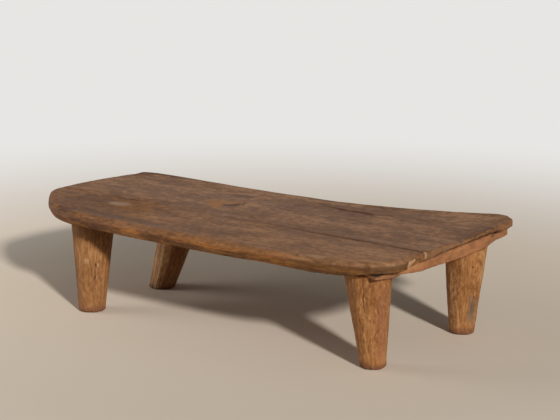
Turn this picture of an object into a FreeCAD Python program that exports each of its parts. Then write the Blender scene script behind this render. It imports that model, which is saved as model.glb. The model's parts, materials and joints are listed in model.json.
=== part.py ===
import FreeCAD, Part
import math
import os

# Low wooden side table, all lengths in millimetres, +Z up, feet on z = 0.
# +X runs along the table to the end that is cut square, +Y runs to the back.

# Top boards
table_length = 1160.0
table_width = 555.0
top_height = 250.0
plank_thickness = 23.0
# the back edge sweeps up by this much at the square end
corner_lift = 22.0
arris_round = 5.0

# The front board is thicker along its front edge than behind, where its underside is hollowed.
# The rim runs out towards the square end and round the front corner of the round end.
rim_drop = 7.0
rim_foot_width = 20.0
rim_root_width = 36.0
rim_right_full_inset = 195.0
rim_right_end_inset = 118.0
rim_left_full_inset = 147.0
rim_left_end_inset = 192.0

# The back board is thinned from below past the batten at the square end
end_edge_thickness = 13.0
rebate_clearance = 1.0

# Joint between the two boards, measured from the middle line to the front
joint_offset_left = 40.0
joint_offset_right = 82.0
joint_gap = 3.0
joint_open_share = 0.17

# Dowels that tie the two boards edge to edge
dowel_diameter = 11.0
dowel_length = 90.0
dowel_clearance = 0.15
dowel_place_shares = (-0.72, -0.10, 0.35)

# Cross battens under the boards
batten_width = 90.0
batten_depth = 27.0
batten_front_tip_depth = 11.0
left_back_tip_depth = 11.0
right_back_tip_depth = 6.0
left_front_reach = 30.0
right_front_reach = 45.0
back_reach = 93.0
front_rise_run = 125.0
back_flat_run = 13.0

# Pegs that hold the battens to the boards
peg_diameter = 14.0
peg_in_plank = 12.0
peg_clearance = 0.15
peg_place_shares = (0.22, 0.62, 0.75)

# Legs, placed by where the axis meets the floor and the underside of the boards,
# each place measured in from the nearest end and edge of the top
leg_top_diameter = 104.0
leg_taper_height = 205.0
foot_round = 4.0
front_left_foot_diameter = 63.0
front_right_foot_diameter = 57.0
back_left_foot_diameter = 65.0
back_right_foot_diameter = 60.0
front_left_foot_end_inset = 249.0
front_left_foot_edge_inset = 78.0
front_left_top_end_inset = 218.0
front_left_top_edge_inset = 128.5
front_right_foot_end_inset = 108.0
front_right_foot_edge_inset = 111.0
front_right_top_end_inset = 119.0
front_right_top_edge_inset = 102.0
back_left_foot_end_inset = 246.0
back_left_foot_edge_inset = 211.0
back_left_top_end_inset = 305.0
back_left_top_edge_inset = 179.5
back_right_foot_end_inset = 88.0
back_right_foot_edge_inset = 103.0
back_right_top_end_inset = 80.0
back_right_top_edge_inset = 103.0

# Round tenons on the legs, each spread by a wedge
tenon_diameter = 44.0
tenon_clearance = 0.2
tenon_top_clearance = 0.3
wedge_thickness = 6.0
wedge_tip_thickness = 2.0
wedge_depth = 12.0

# Extra length of every cutting body
overrun = 20.0

half_length = table_length / 2
half_width = table_width / 2
under_height = top_height - plank_thickness

# Plan of the top, as shares of the half length and the half width
square_end_joint_share = 0.941
round_end_joint_share = -0.995
front_edge_shares = (
    (0.941, -0.52), (0.927, -0.756), (0.866, -0.883), (0.779, -0.954), (0.612, -0.99),
    (0.396, -1.0), (0.155, -0.98), (-0.139, -0.959), (-0.36, -0.934), (-0.488, -0.912),
    (-0.595, -0.888), (-0.655, -0.857), (-0.724, -0.795), (-0.793, -0.703), (-0.857, -0.591),
    (-0.914, -0.475), (-0.963, -0.335),
)
round_end_shares = (
    (-1.0, 0.09), (-0.988, 0.357), (-0.962, 0.58), (-0.936, 0.814),
)
back_edge_shares = (
    (-0.936, 0.814), (-0.893, 0.862), (-0.83, 0.885), (-0.726, 0.89), (-0.58, 0.876),
    (-0.40, 0.861), (-0.20, 0.851), (0.0, 0.846), (0.18, 0.852), (0.34, 0.866),
    (0.48, 0.886), (0.61, 0.91), (0.73, 0.94), (0.825, 0.972), (0.90, 1.0),
)
back_corner_shares = (
    (0.90, 1.0), (0.944, 0.988), (0.977, 0.94), (0.996, 0.87), (1.0, 0.79), (0.985, 0.69),
)

# Where along the table the sweep of the back board starts and is full
lift_start_share = 0.1
lift_full_share = 1.0
lift_steps_along = 16
lift_steps_across = 4
lift_power = 3


def plan_point(shares, z):
    """Return the plan point at two shares of the half sizes."""
    return FreeCAD.Vector(shares[0] * half_length, shares[1] * half_width, z)


def plan_points(rows, z):
    """Return the plan points of a row of shares."""
    return [plan_point(row, z) for row in rows]


def spline(points):
    """Return a smooth edge through the points."""
    curve = Part.BSplineCurve()
    curve.interpolate(points)
    return curve.toShape()


def joint_y(x):
    """Return where the joint line runs at a place along the table."""
    left = round_end_joint_share * half_length
    right = square_end_joint_share * half_length
    along = (x - left) / (right - left)
    return -joint_offset_left - along * (joint_offset_right - joint_offset_left)


def joint_point(share, z, back_shift=0.0):
    """Return a point on the joint line at a share of the half length."""
    x = share * half_length
    return FreeCAD.Vector(x, joint_y(x) + back_shift, z)


def prism(edges, height):
    """Return the upright solid over a closed row of edges."""
    face = Part.Face(Part.Wire(Part.__sortEdges__(edges)))
    return face.extrude(FreeCAD.Vector(0, 0, height))


def upright_box(x_low, x_high, y_low, y_high, z_low, z_high):
    """Return a box between six planes."""
    corner = FreeCAD.Vector(x_low, y_low, z_low)
    return Part.makeBox(x_high - x_low, y_high - y_low, z_high - z_low, corner)


def lift_at(share):
    """Return the share of the full lift that is reached at a place along the table."""
    along = (share - lift_start_share) / (lift_full_share - lift_start_share)
    along = min(max(along, 0), 1)
    return along * along * (3 - 2 * along)


def swept_space(low, high):
    """Return the space between two levels that follow the sweep of the back board."""
    front = -joint_offset_right - overrun
    across_span = half_width + overrun - front
    along_span = 2 * (half_length + overrun)
    grid = []
    for step in range(lift_steps_along + 1):
        x = along_span * (step / lift_steps_along) - along_span / 2
        lift = corner_lift * lift_at(x / half_length)
        row = []
        for across_step in range(lift_steps_across + 1):
            across = across_step / lift_steps_across
            row.append(FreeCAD.Vector(x, front + across * across_span, low + lift * across ** lift_power))
        grid.append(row)
    surface = Part.BSplineSurface()
    surface.interpolate(grid)
    return surface.toShape().extrude(FreeCAD.Vector(0, 0, high - low))


def space_above_underside(drop):
    """Return the space over the underside of both boards, lowered by a clearance."""
    low = under_height - drop
    high = top_height + overrun
    flat = upright_box(
        -half_length - overrun, half_length + overrun,
        -half_width - overrun, -joint_offset_right - overrun, low, high + corner_lift)
    return [flat, swept_space(low, high)]


def rounded_board(board):
    """Return a board with the outer arris of its upper face worn round."""
    upper_face = max(board.Faces, key=lambda face: face.CenterOfMass.z)
    outer = []
    for edge in upper_face.Edges:
        middle = edge.valueAt((edge.FirstParameter + edge.LastParameter) / 2)
        if abs(middle.y - joint_y(middle.x)) > joint_gap:
            outer.append(edge)
    return board.makeFillet(arris_round, outer)


class Leg:
    """One leg: its axis from the floor to the underside of the boards."""

    def __init__(self, foot, top, foot_diameter):
        self.foot = foot
        self.top = top
        self.foot_radius = foot_diameter / 2
        self.axis = (top - foot).normalize()

    def at_height(self, z):
        """Return the axis point at a height."""
        along = (z - self.foot.z) / self.axis.z
        return self.foot + self.axis * along

    def radius_at(self, z):
        """Return the radius of the tapered leg at a height."""
        grow = (leg_top_diameter / 2 - self.foot_radius) / leg_taper_height
        return self.foot_radius + grow * z

    def taper(self):
        """Return the tapered round body, longer than needed at both ends."""
        low = self.at_height(-overrun)
        high = self.at_height(top_height)
        return Part.makeCone(
            self.radius_at(-overrun), self.radius_at(top_height),
            (high - low).Length, low, self.axis)

    def tenon(self, clearance):
        """Return the round tenon through the batten, with room round it."""
        low = self.at_height(under_height - batten_depth - overrun)
        high = self.at_height(top_height)
        radius = tenon_diameter / 2 + clearance
        return Part.makeCylinder(radius, (high - low).Length, low, self.axis)


def left_point(end_inset, y, z):
    """Return a point set in from the round end."""
    return FreeCAD.Vector(end_inset - half_length, y, z)


def right_point(end_inset, y, z):
    """Return a point set in from the square end."""
    return FreeCAD.Vector(half_length - end_inset, y, z)


def front_y(edge_inset):
    """Return the place across the table that is set in from the front edge."""
    return edge_inset - half_width


def back_y(edge_inset):
    """Return the place across the table that is set in from the back edge."""
    return half_width - edge_inset


legs = {
    "front_left": Leg(
        left_point(front_left_foot_end_inset, front_y(front_left_foot_edge_inset), 0),
        left_point(front_left_top_end_inset, front_y(front_left_top_edge_inset), under_height),
        front_left_foot_diameter),
    "front_right": Leg(
        right_point(front_right_foot_end_inset, front_y(front_right_foot_edge_inset), 0),
        right_point(front_right_top_end_inset, front_y(front_right_top_edge_inset), under_height),
        front_right_foot_diameter),
    "back_left": Leg(
        left_point(back_left_foot_end_inset, back_y(back_left_foot_edge_inset), 0),
        left_point(back_left_top_end_inset, back_y(back_left_top_edge_inset), under_height),
        back_left_foot_diameter),
    "back_right": Leg(
        right_point(back_right_foot_end_inset, back_y(back_right_foot_edge_inset), 0),
        right_point(back_right_top_end_inset, back_y(back_right_top_edge_inset), under_height),
        back_right_foot_diameter),
}


class Batten:
    """One cross batten, laid along the line through the tops of its two legs."""

    def __init__(self, front_leg, back_leg, front_reach, back_tip_depth):
        self.legs = (front_leg, back_leg)
        self.start = front_leg.top
        line = back_leg.top - front_leg.top
        self.spacing = line.Length
        self.along = line.normalize()
        self.across = FreeCAD.Vector(self.along.y, -self.along.x, 0)
        self.front_reach = front_reach
        self.back_tip_depth = back_tip_depth

    def point(self, along, across, z):
        """Return a point given along and across the batten."""
        place = self.start + self.along * along + self.across * across
        return FreeCAD.Vector(place.x, place.y, z)

    def block(self, side_extra, end_extra):
        """Return the boat shaped batten, its top left long."""
        half = batten_width / 2 + side_extra
        front = -self.front_reach
        back = self.spacing + back_reach
        belly = under_height - batten_depth
        front_tip = under_height - batten_front_tip_depth
        back_tip = under_height - self.back_tip_depth
        ceiling = top_height + overrun
        rows = [
            (front - end_extra, ceiling),
            (front - end_extra, front_tip),
            (front, front_tip),
            (front_rise_run, belly),
            (self.spacing + back_flat_run, belly),
            (back, back_tip),
            (back + end_extra, back_tip),
            (back + end_extra, ceiling),
        ]
        points = []
        for along, z in rows:
            place = self.point(along, -half, z)
            if not points or (place - points[-1]).Length > 0:
                points.append(place)
        points.append(points[0])
        face = Part.Face(Part.makePolygon(points))
        return face.extrude(self.across * (2 * half))

    def peg(self, share, clearance):
        """Return one upright peg through the batten and into a board."""
        base = self.point(share * self.spacing, 0, under_height - batten_depth)
        radius = peg_diameter / 2 + clearance
        length = batten_depth + peg_in_plank + clearance
        return Part.makeCylinder(radius, length, base)

    def pegs(self, clearance):
        """Return all pegs of the batten."""
        return [self.peg(share, clearance) for share in peg_place_shares]


battens = {
    "left": Batten(legs["front_left"], legs["back_left"], left_front_reach, left_back_tip_depth),
    "right": Batten(legs["front_right"], legs["back_right"], right_front_reach, right_back_tip_depth),
}


def dowel(share, radial_clearance, end_clearance):
    """Return one dowel square across the joint line at half the thickness."""
    middle = joint_point(share, top_height - plank_thickness / 2)
    left = joint_point(round_end_joint_share, 0)
    right = joint_point(square_end_joint_share, 0)
    run = (right - left).normalize()
    across = FreeCAD.Vector(-run.y, run.x, 0)
    length = dowel_length + 2 * end_clearance
    base = middle - across * (length / 2)
    return Part.makeCylinder(dowel_diameter / 2 + radial_clearance, length, base, across)


def dowel_holes():
    """Return the holes for all dowels."""
    return [dowel(share, dowel_clearance, dowel_clearance) for share in dowel_place_shares]


def peg_holes():
    """Return the holes for all pegs."""
    holes = []
    for batten in battens.values():
        holes += batten.pegs(peg_clearance)
    return holes


def rim_hollow_wire(inset, z):
    """Return the outline of the hollow behind the rim, set in from the front edge."""
    edge = plan_points(front_edge_shares, z)
    moved = []
    for before, here, after in zip(edge, edge[1:], edge[2:]):
        run = (after - before).normalize()
        moved.append(here + FreeCAD.Vector(run.y, -run.x, 0) * inset)
    back_left = FreeCAD.Vector(-half_length - overrun, -joint_offset_left, z)
    back_right = FreeCAD.Vector(half_length + overrun, -joint_offset_left, z)
    closing = Part.makePolygon([moved[-1], back_left, back_right, moved[0]])
    return Part.Wire([spline(moved)] + closing.Edges)


def rim_fades(low):
    """Return the slanted spaces in which the rim runs out at both ends."""
    floor = low - overrun
    right_full = half_length - rim_right_full_inset
    right_end = half_length - rim_right_end_inset
    far = half_length + overrun
    right = [(right_full, low), (right_end, under_height), (far, under_height), (far, floor), (right_full, floor)]
    left_full = front_y(rim_left_full_inset)
    left_end = front_y(rim_left_end_inset)
    back = half_width + overrun
    left = [(left_full, low), (left_end, under_height), (back, under_height), (back, floor), (left_full, floor)]
    right_points = [FreeCAD.Vector(x, -back, z) for x, z in right + right[:1]]
    left_points = [FreeCAD.Vector(-far, y, z) for y, z in left + left[:1]]
    right_face = Part.Face(Part.makePolygon(right_points))
    left_face = Part.Face(Part.makePolygon(left_points))
    return [
        right_face.extrude(FreeCAD.Vector(0, 2 * back, 0)),
        left_face.extrude(FreeCAD.Vector(2 * far, 0, 0)),
    ]


def front_outline(z):
    """Return the edges round the front board at a height."""
    edge = plan_points(front_edge_shares, z)
    joint_right = joint_point(square_end_joint_share, z)
    joint_left = joint_point(round_end_joint_share, z)
    return [
        Part.makeLine(joint_left, joint_right),
        Part.makeLine(joint_right, edge[0]),
        spline(edge + [joint_left]),
    ]


def front_rim():
    """Return the rim under the front edge of the front board."""
    low = under_height - rim_drop
    foot = rim_hollow_wire(rim_foot_width, low)
    root = rim_hollow_wire(rim_root_width, under_height)
    hollow = Part.makeLoft([foot, root], True, True)
    return prism(front_outline(low), rim_drop).cut([hollow] + rim_fades(low))


def front_plank():
    """Return the front board with its rounded corners, straight joint edge and thicker rim."""
    board = rounded_board(prism(front_outline(under_height), plank_thickness))
    board = board.fuse(front_rim()).removeSplitter()
    return board.cut(dowel_holes() + peg_holes())


def end_rebate():
    """Return the rebate that thins the square end of the back board from below."""
    piece = battens["right"]
    low = under_height - overrun
    inner = batten_width / 2 + rebate_clearance
    outer = inner + batten_width
    front = -piece.front_reach - overrun
    back = piece.spacing + back_reach + batten_width
    corners = [
        piece.point(front, inner, low),
        piece.point(front, outer, low),
        piece.point(back, outer, low),
        piece.point(back, inner, low),
        piece.point(front, inner, low),
    ]
    height = top_height + corner_lift + overrun - low
    strip = Part.Face(Part.makePolygon(corners)).extrude(FreeCAD.Vector(0, 0, height))
    return strip.common(swept_space(low, top_height - end_edge_thickness))


def rear_plank():
    """Return the back board, which sweeps up to the back of the square end."""
    floor = under_height - overrun
    height = plank_thickness + corner_lift + 2 * overrun
    round_end = plan_points(round_end_shares, floor)
    back = plan_points(back_edge_shares, floor)
    corner = plan_points(back_corner_shares, floor)
    joint_left = joint_point(round_end_joint_share, floor)
    joint_open = joint_point(joint_open_share, floor)
    joint_right = joint_point(square_end_joint_share, floor, joint_gap)
    edges = [
        spline([joint_left] + round_end),
        spline(back),
        spline(corner),
        Part.makeLine(corner[-1], joint_right),
        Part.makeLine(joint_right, joint_open),
        Part.makeLine(joint_open, joint_left),
    ]
    board = prism(edges, height).common(swept_space(under_height, top_height))
    board = rounded_board(board).cut(end_rebate())
    return board.cut(dowel_holes() + peg_holes())


def batten(side):
    """Return one batten with the holes for its tenons and pegs."""
    piece = battens[side]
    holes = [leg.tenon(tenon_clearance) for leg in piece.legs]
    holes += piece.pegs(peg_clearance)
    return piece.block(0, 0).cut(space_above_underside(0)).cut(holes)


def batten_pegs(side):
    """Return the pegs of one batten, trimmed to its belly."""
    piece = battens[side]
    trim = piece.block(0, 0)
    return Part.makeCompound([peg.common(trim) for peg in piece.pegs(0)])


def tenon_wedge(name, side):
    """Return the wedge that spreads one tenon, flush with its top."""
    leg = legs[name]
    piece = battens[side]
    top = leg.at_height(top_height)
    bottom = leg.at_height(under_height - wedge_depth)
    split = piece.along
    reach = piece.across * tenon_diameter
    rise = (wedge_thickness - wedge_tip_thickness) / wedge_depth
    top_half = (wedge_tip_thickness + rise * (wedge_depth + plank_thickness)) / 2
    tip_half = wedge_tip_thickness / 2
    points = [
        bottom - split * tip_half - reach,
        bottom + split * tip_half - reach,
        top + split * top_half - reach,
        top - split * top_half - reach,
        bottom - split * tip_half - reach,
    ]
    face = Part.Face(Part.makePolygon(points))
    blade = face.extrude(reach * 2).common(leg.tenon(0))
    return blade.cut(space_above_underside(tenon_top_clearance))


def leg(name, side):
    """Return one tapered leg with its tenon, scribed to the batten."""
    piece = legs[name]
    reach = leg_top_diameter
    below = upright_box(
        piece.foot.x - reach, piece.foot.x + reach,
        piece.foot.y - reach, piece.foot.y + reach, -2 * overrun, 0)
    body = piece.taper().cut(below)
    rim = [edge for edge in body.Edges if edge.BoundBox.ZMax < foot_round]
    body = body.makeFillet(foot_round, rim)
    body = body.cut(battens[side].block(reach, reach))
    tenon = piece.tenon(0).cut(space_above_underside(tenon_top_clearance))
    return body.fuse(tenon).removeSplitter().cut(tenon_wedge(name, side))


def plank_dowels():
    """Return the dowels between the boards."""
    return Part.makeCompound([dowel(share, 0, 0) for share in dowel_place_shares])


os.makedirs("parts", exist_ok=True)

front_plank().exportStep("parts/front_plank.step")
rear_plank().exportStep("parts/rear_plank.step")
plank_dowels().exportStep("parts/plank_dowels.step")

for side_name in battens:
    batten(side_name).exportStep("parts/" + side_name + "_batten.step")
    batten_pegs(side_name).exportStep("parts/" + side_name + "_batten_pegs.step")
    for end_name in ("front", "back"):
        leg_name = end_name + "_" + side_name
        leg(leg_name, side_name).exportStep("parts/leg_" + leg_name + ".step")
        tenon_wedge(leg_name, side_name).exportStep("parts/wedge_" + leg_name + ".step")
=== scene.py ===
"""Looks of a low hand-cut wooden side table: two worn boards on cross battens and four tapered legs."""

import json
import logging
import math
from dataclasses import dataclass, replace
from enum import Enum
from typing import Optional, Sequence, Union

import bmesh
import bpy
import numpy as np
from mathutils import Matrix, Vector
from mathutils.kdtree import KDTree


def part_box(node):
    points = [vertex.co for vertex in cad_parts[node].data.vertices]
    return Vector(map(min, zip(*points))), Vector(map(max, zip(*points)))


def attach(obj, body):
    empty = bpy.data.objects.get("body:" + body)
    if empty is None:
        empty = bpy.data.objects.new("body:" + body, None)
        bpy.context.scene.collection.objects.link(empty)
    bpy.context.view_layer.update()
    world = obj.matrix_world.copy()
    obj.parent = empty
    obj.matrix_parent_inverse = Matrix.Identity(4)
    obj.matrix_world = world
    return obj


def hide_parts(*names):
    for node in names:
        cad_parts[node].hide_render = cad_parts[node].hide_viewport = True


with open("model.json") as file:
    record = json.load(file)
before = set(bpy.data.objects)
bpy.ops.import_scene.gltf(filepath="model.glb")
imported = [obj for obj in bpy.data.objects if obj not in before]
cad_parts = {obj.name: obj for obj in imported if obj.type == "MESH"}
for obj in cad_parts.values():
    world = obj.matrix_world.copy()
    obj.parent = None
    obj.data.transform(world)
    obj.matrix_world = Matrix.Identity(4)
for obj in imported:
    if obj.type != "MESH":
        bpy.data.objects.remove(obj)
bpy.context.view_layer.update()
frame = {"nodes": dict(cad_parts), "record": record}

log = logging.getLogger("side_table")

MM = 0.001
BODY = "root"
GRAIN = "grain_place"
MARKS = "marks"
WELD = 0.01 * MM
# A half, which is also the middle value of a noise.
HALF = 0.5
HALF_TURN = 180.0
# The direction in the plan that runs to the right of the picture.
RIGHTWARD = (0.803, 0.595)

Colour = tuple[float, float, float]
Place = tuple[float, float, float]
Spot = tuple[float, float]
Pair = tuple[float, float]


class Slot(Enum):
    """The material slots of the record that the pieces take their finish from."""

    TOP = "top_wood"
    BATTEN = "batten_wood"
    LEG = "leg_wood"
    PEG = "peg_wood"


class Corner(Enum):
    """The four corners that the legs stand at."""

    FRONT_LEFT = "front_left"
    FRONT_RIGHT = "front_right"
    BACK_LEFT = "back_left"
    BACK_RIGHT = "back_right"


class Mark(Enum):
    """What each channel of the marks attribute stands for."""

    # The dirt channel also carries painted shade, and the raw and end channels carry painted light, on some
    # pieces.
    WEAR = 0
    DIRT = 1
    RAW = 2
    END = 3


class Signal:
    """A value on its way through a node tree, which can be written like a number."""

    def __init__(self, sheet: "NodeSheet", socket: bpy.types.NodeSocket) -> None:
        """Keep the sheet that the value belongs to, and its socket."""
        self.sheet = sheet
        self.socket = socket

    def __add__(self, other: "Value") -> "Signal":
        """Return the sum."""
        return self.sheet.math("ADD", self, other)

    def __radd__(self, other: "Value") -> "Signal":
        """Return the sum, with the value on the right."""
        return self.sheet.math("ADD", other, self)

    def __sub__(self, other: "Value") -> "Signal":
        """Return the difference."""
        return self.sheet.math("SUBTRACT", self, other)

    def __rsub__(self, other: "Value") -> "Signal":
        """Return the difference, with the value on the right."""
        return self.sheet.math("SUBTRACT", other, self)

    def __mul__(self, other: "Value") -> "Signal":
        """Return the product."""
        return self.sheet.math("MULTIPLY", self, other)

    def __rmul__(self, other: "Value") -> "Signal":
        """Return the product, with the value on the right."""
        return self.sheet.math("MULTIPLY", other, self)

    def __truediv__(self, other: "Value") -> "Signal":
        """Return the quotient."""
        return self.sheet.math("DIVIDE", self, other)

    def __rtruediv__(self, other: "Value") -> "Signal":
        """Return the quotient, with the value on the right."""
        return self.sheet.math("DIVIDE", other, self)

    def __pow__(self, other: "Value") -> "Signal":
        """Return the power."""
        return self.sheet.math("POWER", self, other)

    def limited(self) -> "Signal":
        """Return the value held between zero and one."""
        return self.sheet.math("MINIMUM", self.sheet.math("MAXIMUM", self, 0.0), 1.0)


Value = Union[Signal, float]
Feed = Union[Signal, bpy.types.NodeSocket, float, int, str, Sequence[float], bpy.types.Material]


class NodeSheet:
    """A node tree under construction, for a finish or for a shape."""

    mix_inputs = (0, 6, 7)
    mix_output = 2

    def __init__(self, tree: bpy.types.NodeTree) -> None:
        """Keep the tree and clear it."""
        self.tree = tree
        tree.nodes.clear()

    def put(self, socket: bpy.types.NodeSocket, value: Feed) -> None:
        """Link a value to an input socket, or set it there.

        Args:
            socket: The input socket.
            value: A signal, an output socket, or a plain value.
        """
        if isinstance(value, Signal):
            value = value.socket
        if isinstance(value, bpy.types.NodeSocket):
            self.tree.links.new(value, socket)
        else:
            socket.default_value = value

    def node(
        self,
        kind: str,
        settings: Optional[dict[str, object]] = None,
        sockets: Optional[dict[Union[str, int], Feed]] = None,
    ) -> bpy.types.Node:
        """Add one node.

        Args:
            kind: The type name of the node.
            settings: Properties to set first; stops gives the stops of a colour ramp.
            sockets: Values or links of its inputs, by name or by number.

        Returns:
            The new node.
        """
        node = self.tree.nodes.new(kind)
        for name, value in (settings or {}).items():
            if name == "stops":
                self._set_stops(node.color_ramp, value)
            else:
                setattr(node, name, value)
        for key, value in (sockets or {}).items():
            self.put(node.inputs[key], value)
        return node

    @staticmethod
    def _set_stops(ramp: bpy.types.ColorRamp, stops: Sequence[tuple[float, Colour]]) -> None:
        """Give a colour ramp its stops.

        Args:
            ramp: The colour ramp.
            stops: The position and the colour of each stop.
        """
        while len(ramp.elements) < len(stops):
            ramp.elements.new(1.0)
        for element, (position, colour) in zip(ramp.elements, stops):
            element.position = position
            element.color = (*colour, 1.0)

    def math(self, operation: str, *values: Value) -> Signal:
        """Return the result of a Math node on the values."""
        node = self.node("ShaderNodeMath", {"operation": operation}, dict(enumerate(values)))
        return Signal(self, node.outputs[0])

    def vector(self, operation: str, *values: Feed, value_out: bool = False) -> Signal:
        """Return the result of a Vector Math node.

        Args:
            operation: The operation's name.
            values: Its inputs in order.
            value_out: Whether the result is a number, as a length is.

        Returns:
            The vector, or the number.
        """
        node = self.node("ShaderNodeVectorMath", {"operation": operation}, dict(enumerate(values)))
        return Signal(self, node.outputs["Value" if value_out else "Vector"])

    def split(self, vector: Feed) -> tuple[Signal, Signal, Signal]:
        """Return the three parts of a vector."""
        node = self.node("ShaderNodeSeparateXYZ", None, {0: vector})
        return tuple(Signal(self, output) for output in node.outputs)

    def joined(self, x: Value, y: Value, z: Value) -> Signal:
        """Return the vector of three values."""
        node = self.node("ShaderNodeCombineXYZ", None, {0: x, 1: y, 2: z})
        return Signal(self, node.outputs[0])

    def noise(self, place: Feed, layers: Pair) -> Signal:
        """Return cloudy noise about one unit in size, with the detail and roughness of its layers."""
        sockets = {"Vector": place, "Scale": 1.0, "Detail": layers[0], "Roughness": layers[1]}
        return Signal(self, self.node("ShaderNodeTexNoise", None, sockets).outputs[0])

    def figure(self, place: Feed, count: Place, layers: Pair) -> Signal:
        """Return cloudy noise with so many lumps to the metre each way."""
        return self.noise(self.vector("MULTIPLY", place, count), layers)

    def ease(self, value: Value, low: float, high: float) -> Signal:
        """Return a smooth rise from zero at low to one at high.

        Args:
            value: The value that rises.
            low: Where the rise starts.
            high: Where it is full; below low, the rise runs the other way.

        Returns:
            The rise, from zero to one.
        """
        sockets = {"Value": value, "From Min": low, "From Max": high}
        node = self.node("ShaderNodeMapRange", {"interpolation_type": "SMOOTHSTEP"}, sockets)
        return Signal(self, node.outputs[0])

    def blend(self, share: Value, base: Feed, over: Feed, mode: str = "MIX") -> Signal:
        """Return one colour laid over another.

        Args:
            share: How much of it covers.
            base: The colour below.
            over: The colour above.
            mode: How the two are mixed.

        Returns:
            The mixed colour.
        """
        settings = {"data_type": "RGBA", "blend_type": mode}
        feeds = dict(zip(self.mix_inputs, (share, self._paint(base), self._paint(over))))
        return Signal(self, self.node("ShaderNodeMix", settings, feeds).outputs[self.mix_output])

    @staticmethod
    def _paint(colour: Feed) -> Feed:
        """Return a colour with its opacity."""
        return (*colour, 1.0) if isinstance(colour, tuple) else colour


def shade(colour: Colour, level: float) -> Colour:
    """Return a colour made lighter or darker."""
    return tuple(level * part for part in colour)


def new_finish(name: str) -> tuple[bpy.types.Material, NodeSheet]:
    """Start a material.

    Args:
        name: Its name.

    Returns:
        The material, and the empty sheet of its nodes.
    """
    material = bpy.data.materials.new(name)
    material.use_nodes = True
    return material, NodeSheet(material.node_tree)


def smooth_step(values: np.ndarray, low: float, high: float) -> np.ndarray:
    """Return a smooth rise from zero at low to one at high."""
    share = np.clip((values - low) / (high - low), 0.0, 1.0)
    return share * share * (3.0 - 2.0 * share)


def between(low: float, high: float, share: np.ndarray) -> np.ndarray:
    """Return the value at a share of the way from one value to another."""
    return low + (high - low) * share


class Roughcast:
    """Smooth repeatable noise on a lattice, for shaping points."""

    size = 256

    def __init__(self, seed: int) -> None:
        """Shuffle the lattice.

        Args:
            seed: What the shuffle starts from.
        """
        draw = np.random.default_rng(seed)
        self.order = draw.permutation(self.size)
        self.level = draw.uniform(-1.0, 1.0, self.size)

    def at(self, places: np.ndarray) -> np.ndarray:
        """Return the noise at some places.

        Args:
            places: An array of points, in lattice units.

        Returns:
            One value from -1 to 1 for each point.
        """
        cell = np.floor(places).astype(int)
        rest = places - cell
        ease = smooth_step(rest, 0.0, 1.0)
        total = np.zeros(len(places))
        for corner in np.ndindex(2, 2, 2):
            index = np.zeros(len(places), int)
            weight = np.ones(len(places))
            for axis, step in enumerate(corner):
                index = self.order[(index + cell[:, axis] + step) % self.size]
                weight *= ease[:, axis] if step else 1.0 - ease[:, axis]
            total += weight * self.level[index]
        return total


def path_offset(points: np.ndarray, path: np.ndarray) -> tuple[np.ndarray, np.ndarray]:
    """Measure points of the plan against a path.

    Args:
        points: Plan points.
        path: The corners of the path.

    Returns:
        The signed distance of each point, positive to the left, and its share along the path.
    """
    best = np.full(len(points), np.inf)
    side = np.zeros(len(points))
    share = np.zeros(len(points))
    count = len(path) - 1
    for step in range(count):
        start, run = path[step], path[step + 1] - path[step]
        along = np.clip((points - start) @ run / (run @ run), 0.0, 1.0)
        gap = points - start - along[:, None] * run
        distance = np.hypot(gap[:, 0], gap[:, 1])
        nearer = distance < best
        best[nearer] = distance[nearer]
        side[nearer] = np.sign(run[0] * gap[nearer, 1] - run[1] * gap[nearer, 0])
        share[nearer] = (step + along[nearer]) / count
    return best * side, share


class Carving:
    """The points of a mesh as arrays, to be shaped, marked and written back."""

    seed_step = 0.37

    def __init__(self, mesh: bpy.types.Mesh, seed: int = 0) -> None:
        """Read the points and their directions.

        Args:
            mesh: The mesh to shape.
            seed: The seed of the piece, for its noises.
        """
        self.mesh = mesh
        self.seed = seed
        count = len(mesh.vertices)
        self.places = np.empty(count * 3, np.float32)
        self.normals = np.empty(count * 3, np.float32)
        mesh.vertices.foreach_get("co", self.places)
        mesh.vertices.foreach_get("normal", self.normals)
        self.places = self.places.reshape(-1, 3).astype(float)
        self.normals = self.normals.reshape(-1, 3).astype(float)
        self.marks = np.zeros((count, len(Mark)))

    def noise(self, step: int, count: Place) -> np.ndarray:
        """Return the noise of a step of the seed, with so many lumps to the metre."""
        seed = self.seed + step
        return Roughcast(seed).at(self.places * np.array(count) + seed * self.seed_step)

    def facing(self, axis: int, gain: float, least: float = 0.0) -> np.ndarray:
        """Return how squarely the points face along an axis, from zero to one."""
        return np.clip(self.normals[:, axis] * gain - least, 0.0, 1.0)

    def push(self, amount: np.ndarray) -> None:
        """Move the points along their directions."""
        self.places += self.normals * amount[:, None]

    def mark(self, kind: Mark, amount: np.ndarray) -> None:
        """Raise one mark to at least the given amount."""
        channel = self.marks[:, kind.value]
        np.maximum(channel, np.clip(amount, 0.0, 1.0), out=channel)

    def clear(self, kind: Mark, share: np.ndarray) -> None:
        """Take a share of one mark away."""
        self.marks[:, kind.value] *= 1.0 - share

    def write(self, grain: np.ndarray) -> None:
        """Write the points, the marks and the grain places to the mesh.

        Args:
            grain: Where each point lies along and across the grain.
        """
        self.mesh.vertices.foreach_set("co", self.places.astype(np.float32).ravel())
        marks = self.mesh.attributes.new(MARKS, "FLOAT_COLOR", "POINT")
        marks.data.foreach_set("color", self.marks.astype(np.float32).ravel())
        attributes = self.mesh.attributes
        place = attributes.get(GRAIN) or attributes.new(GRAIN, "FLOAT_VECTOR", "POINT")
        place.data.foreach_set("vector", grain.astype(np.float32).ravel())
        self.mesh.shade_smooth()
        self.mesh.update()


@dataclass(frozen=True)
class Rise:
    """A smooth rise from zero at one value to one at another."""

    start: float
    full: float

    def up(self, values: np.ndarray) -> np.ndarray:
        """Return the rise at each value."""
        return smooth_step(values, self.start, self.full)

    def down(self, values: np.ndarray) -> np.ndarray:
        """Return what the rise still lacks at each value."""
        return 1.0 - self.up(values)


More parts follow.
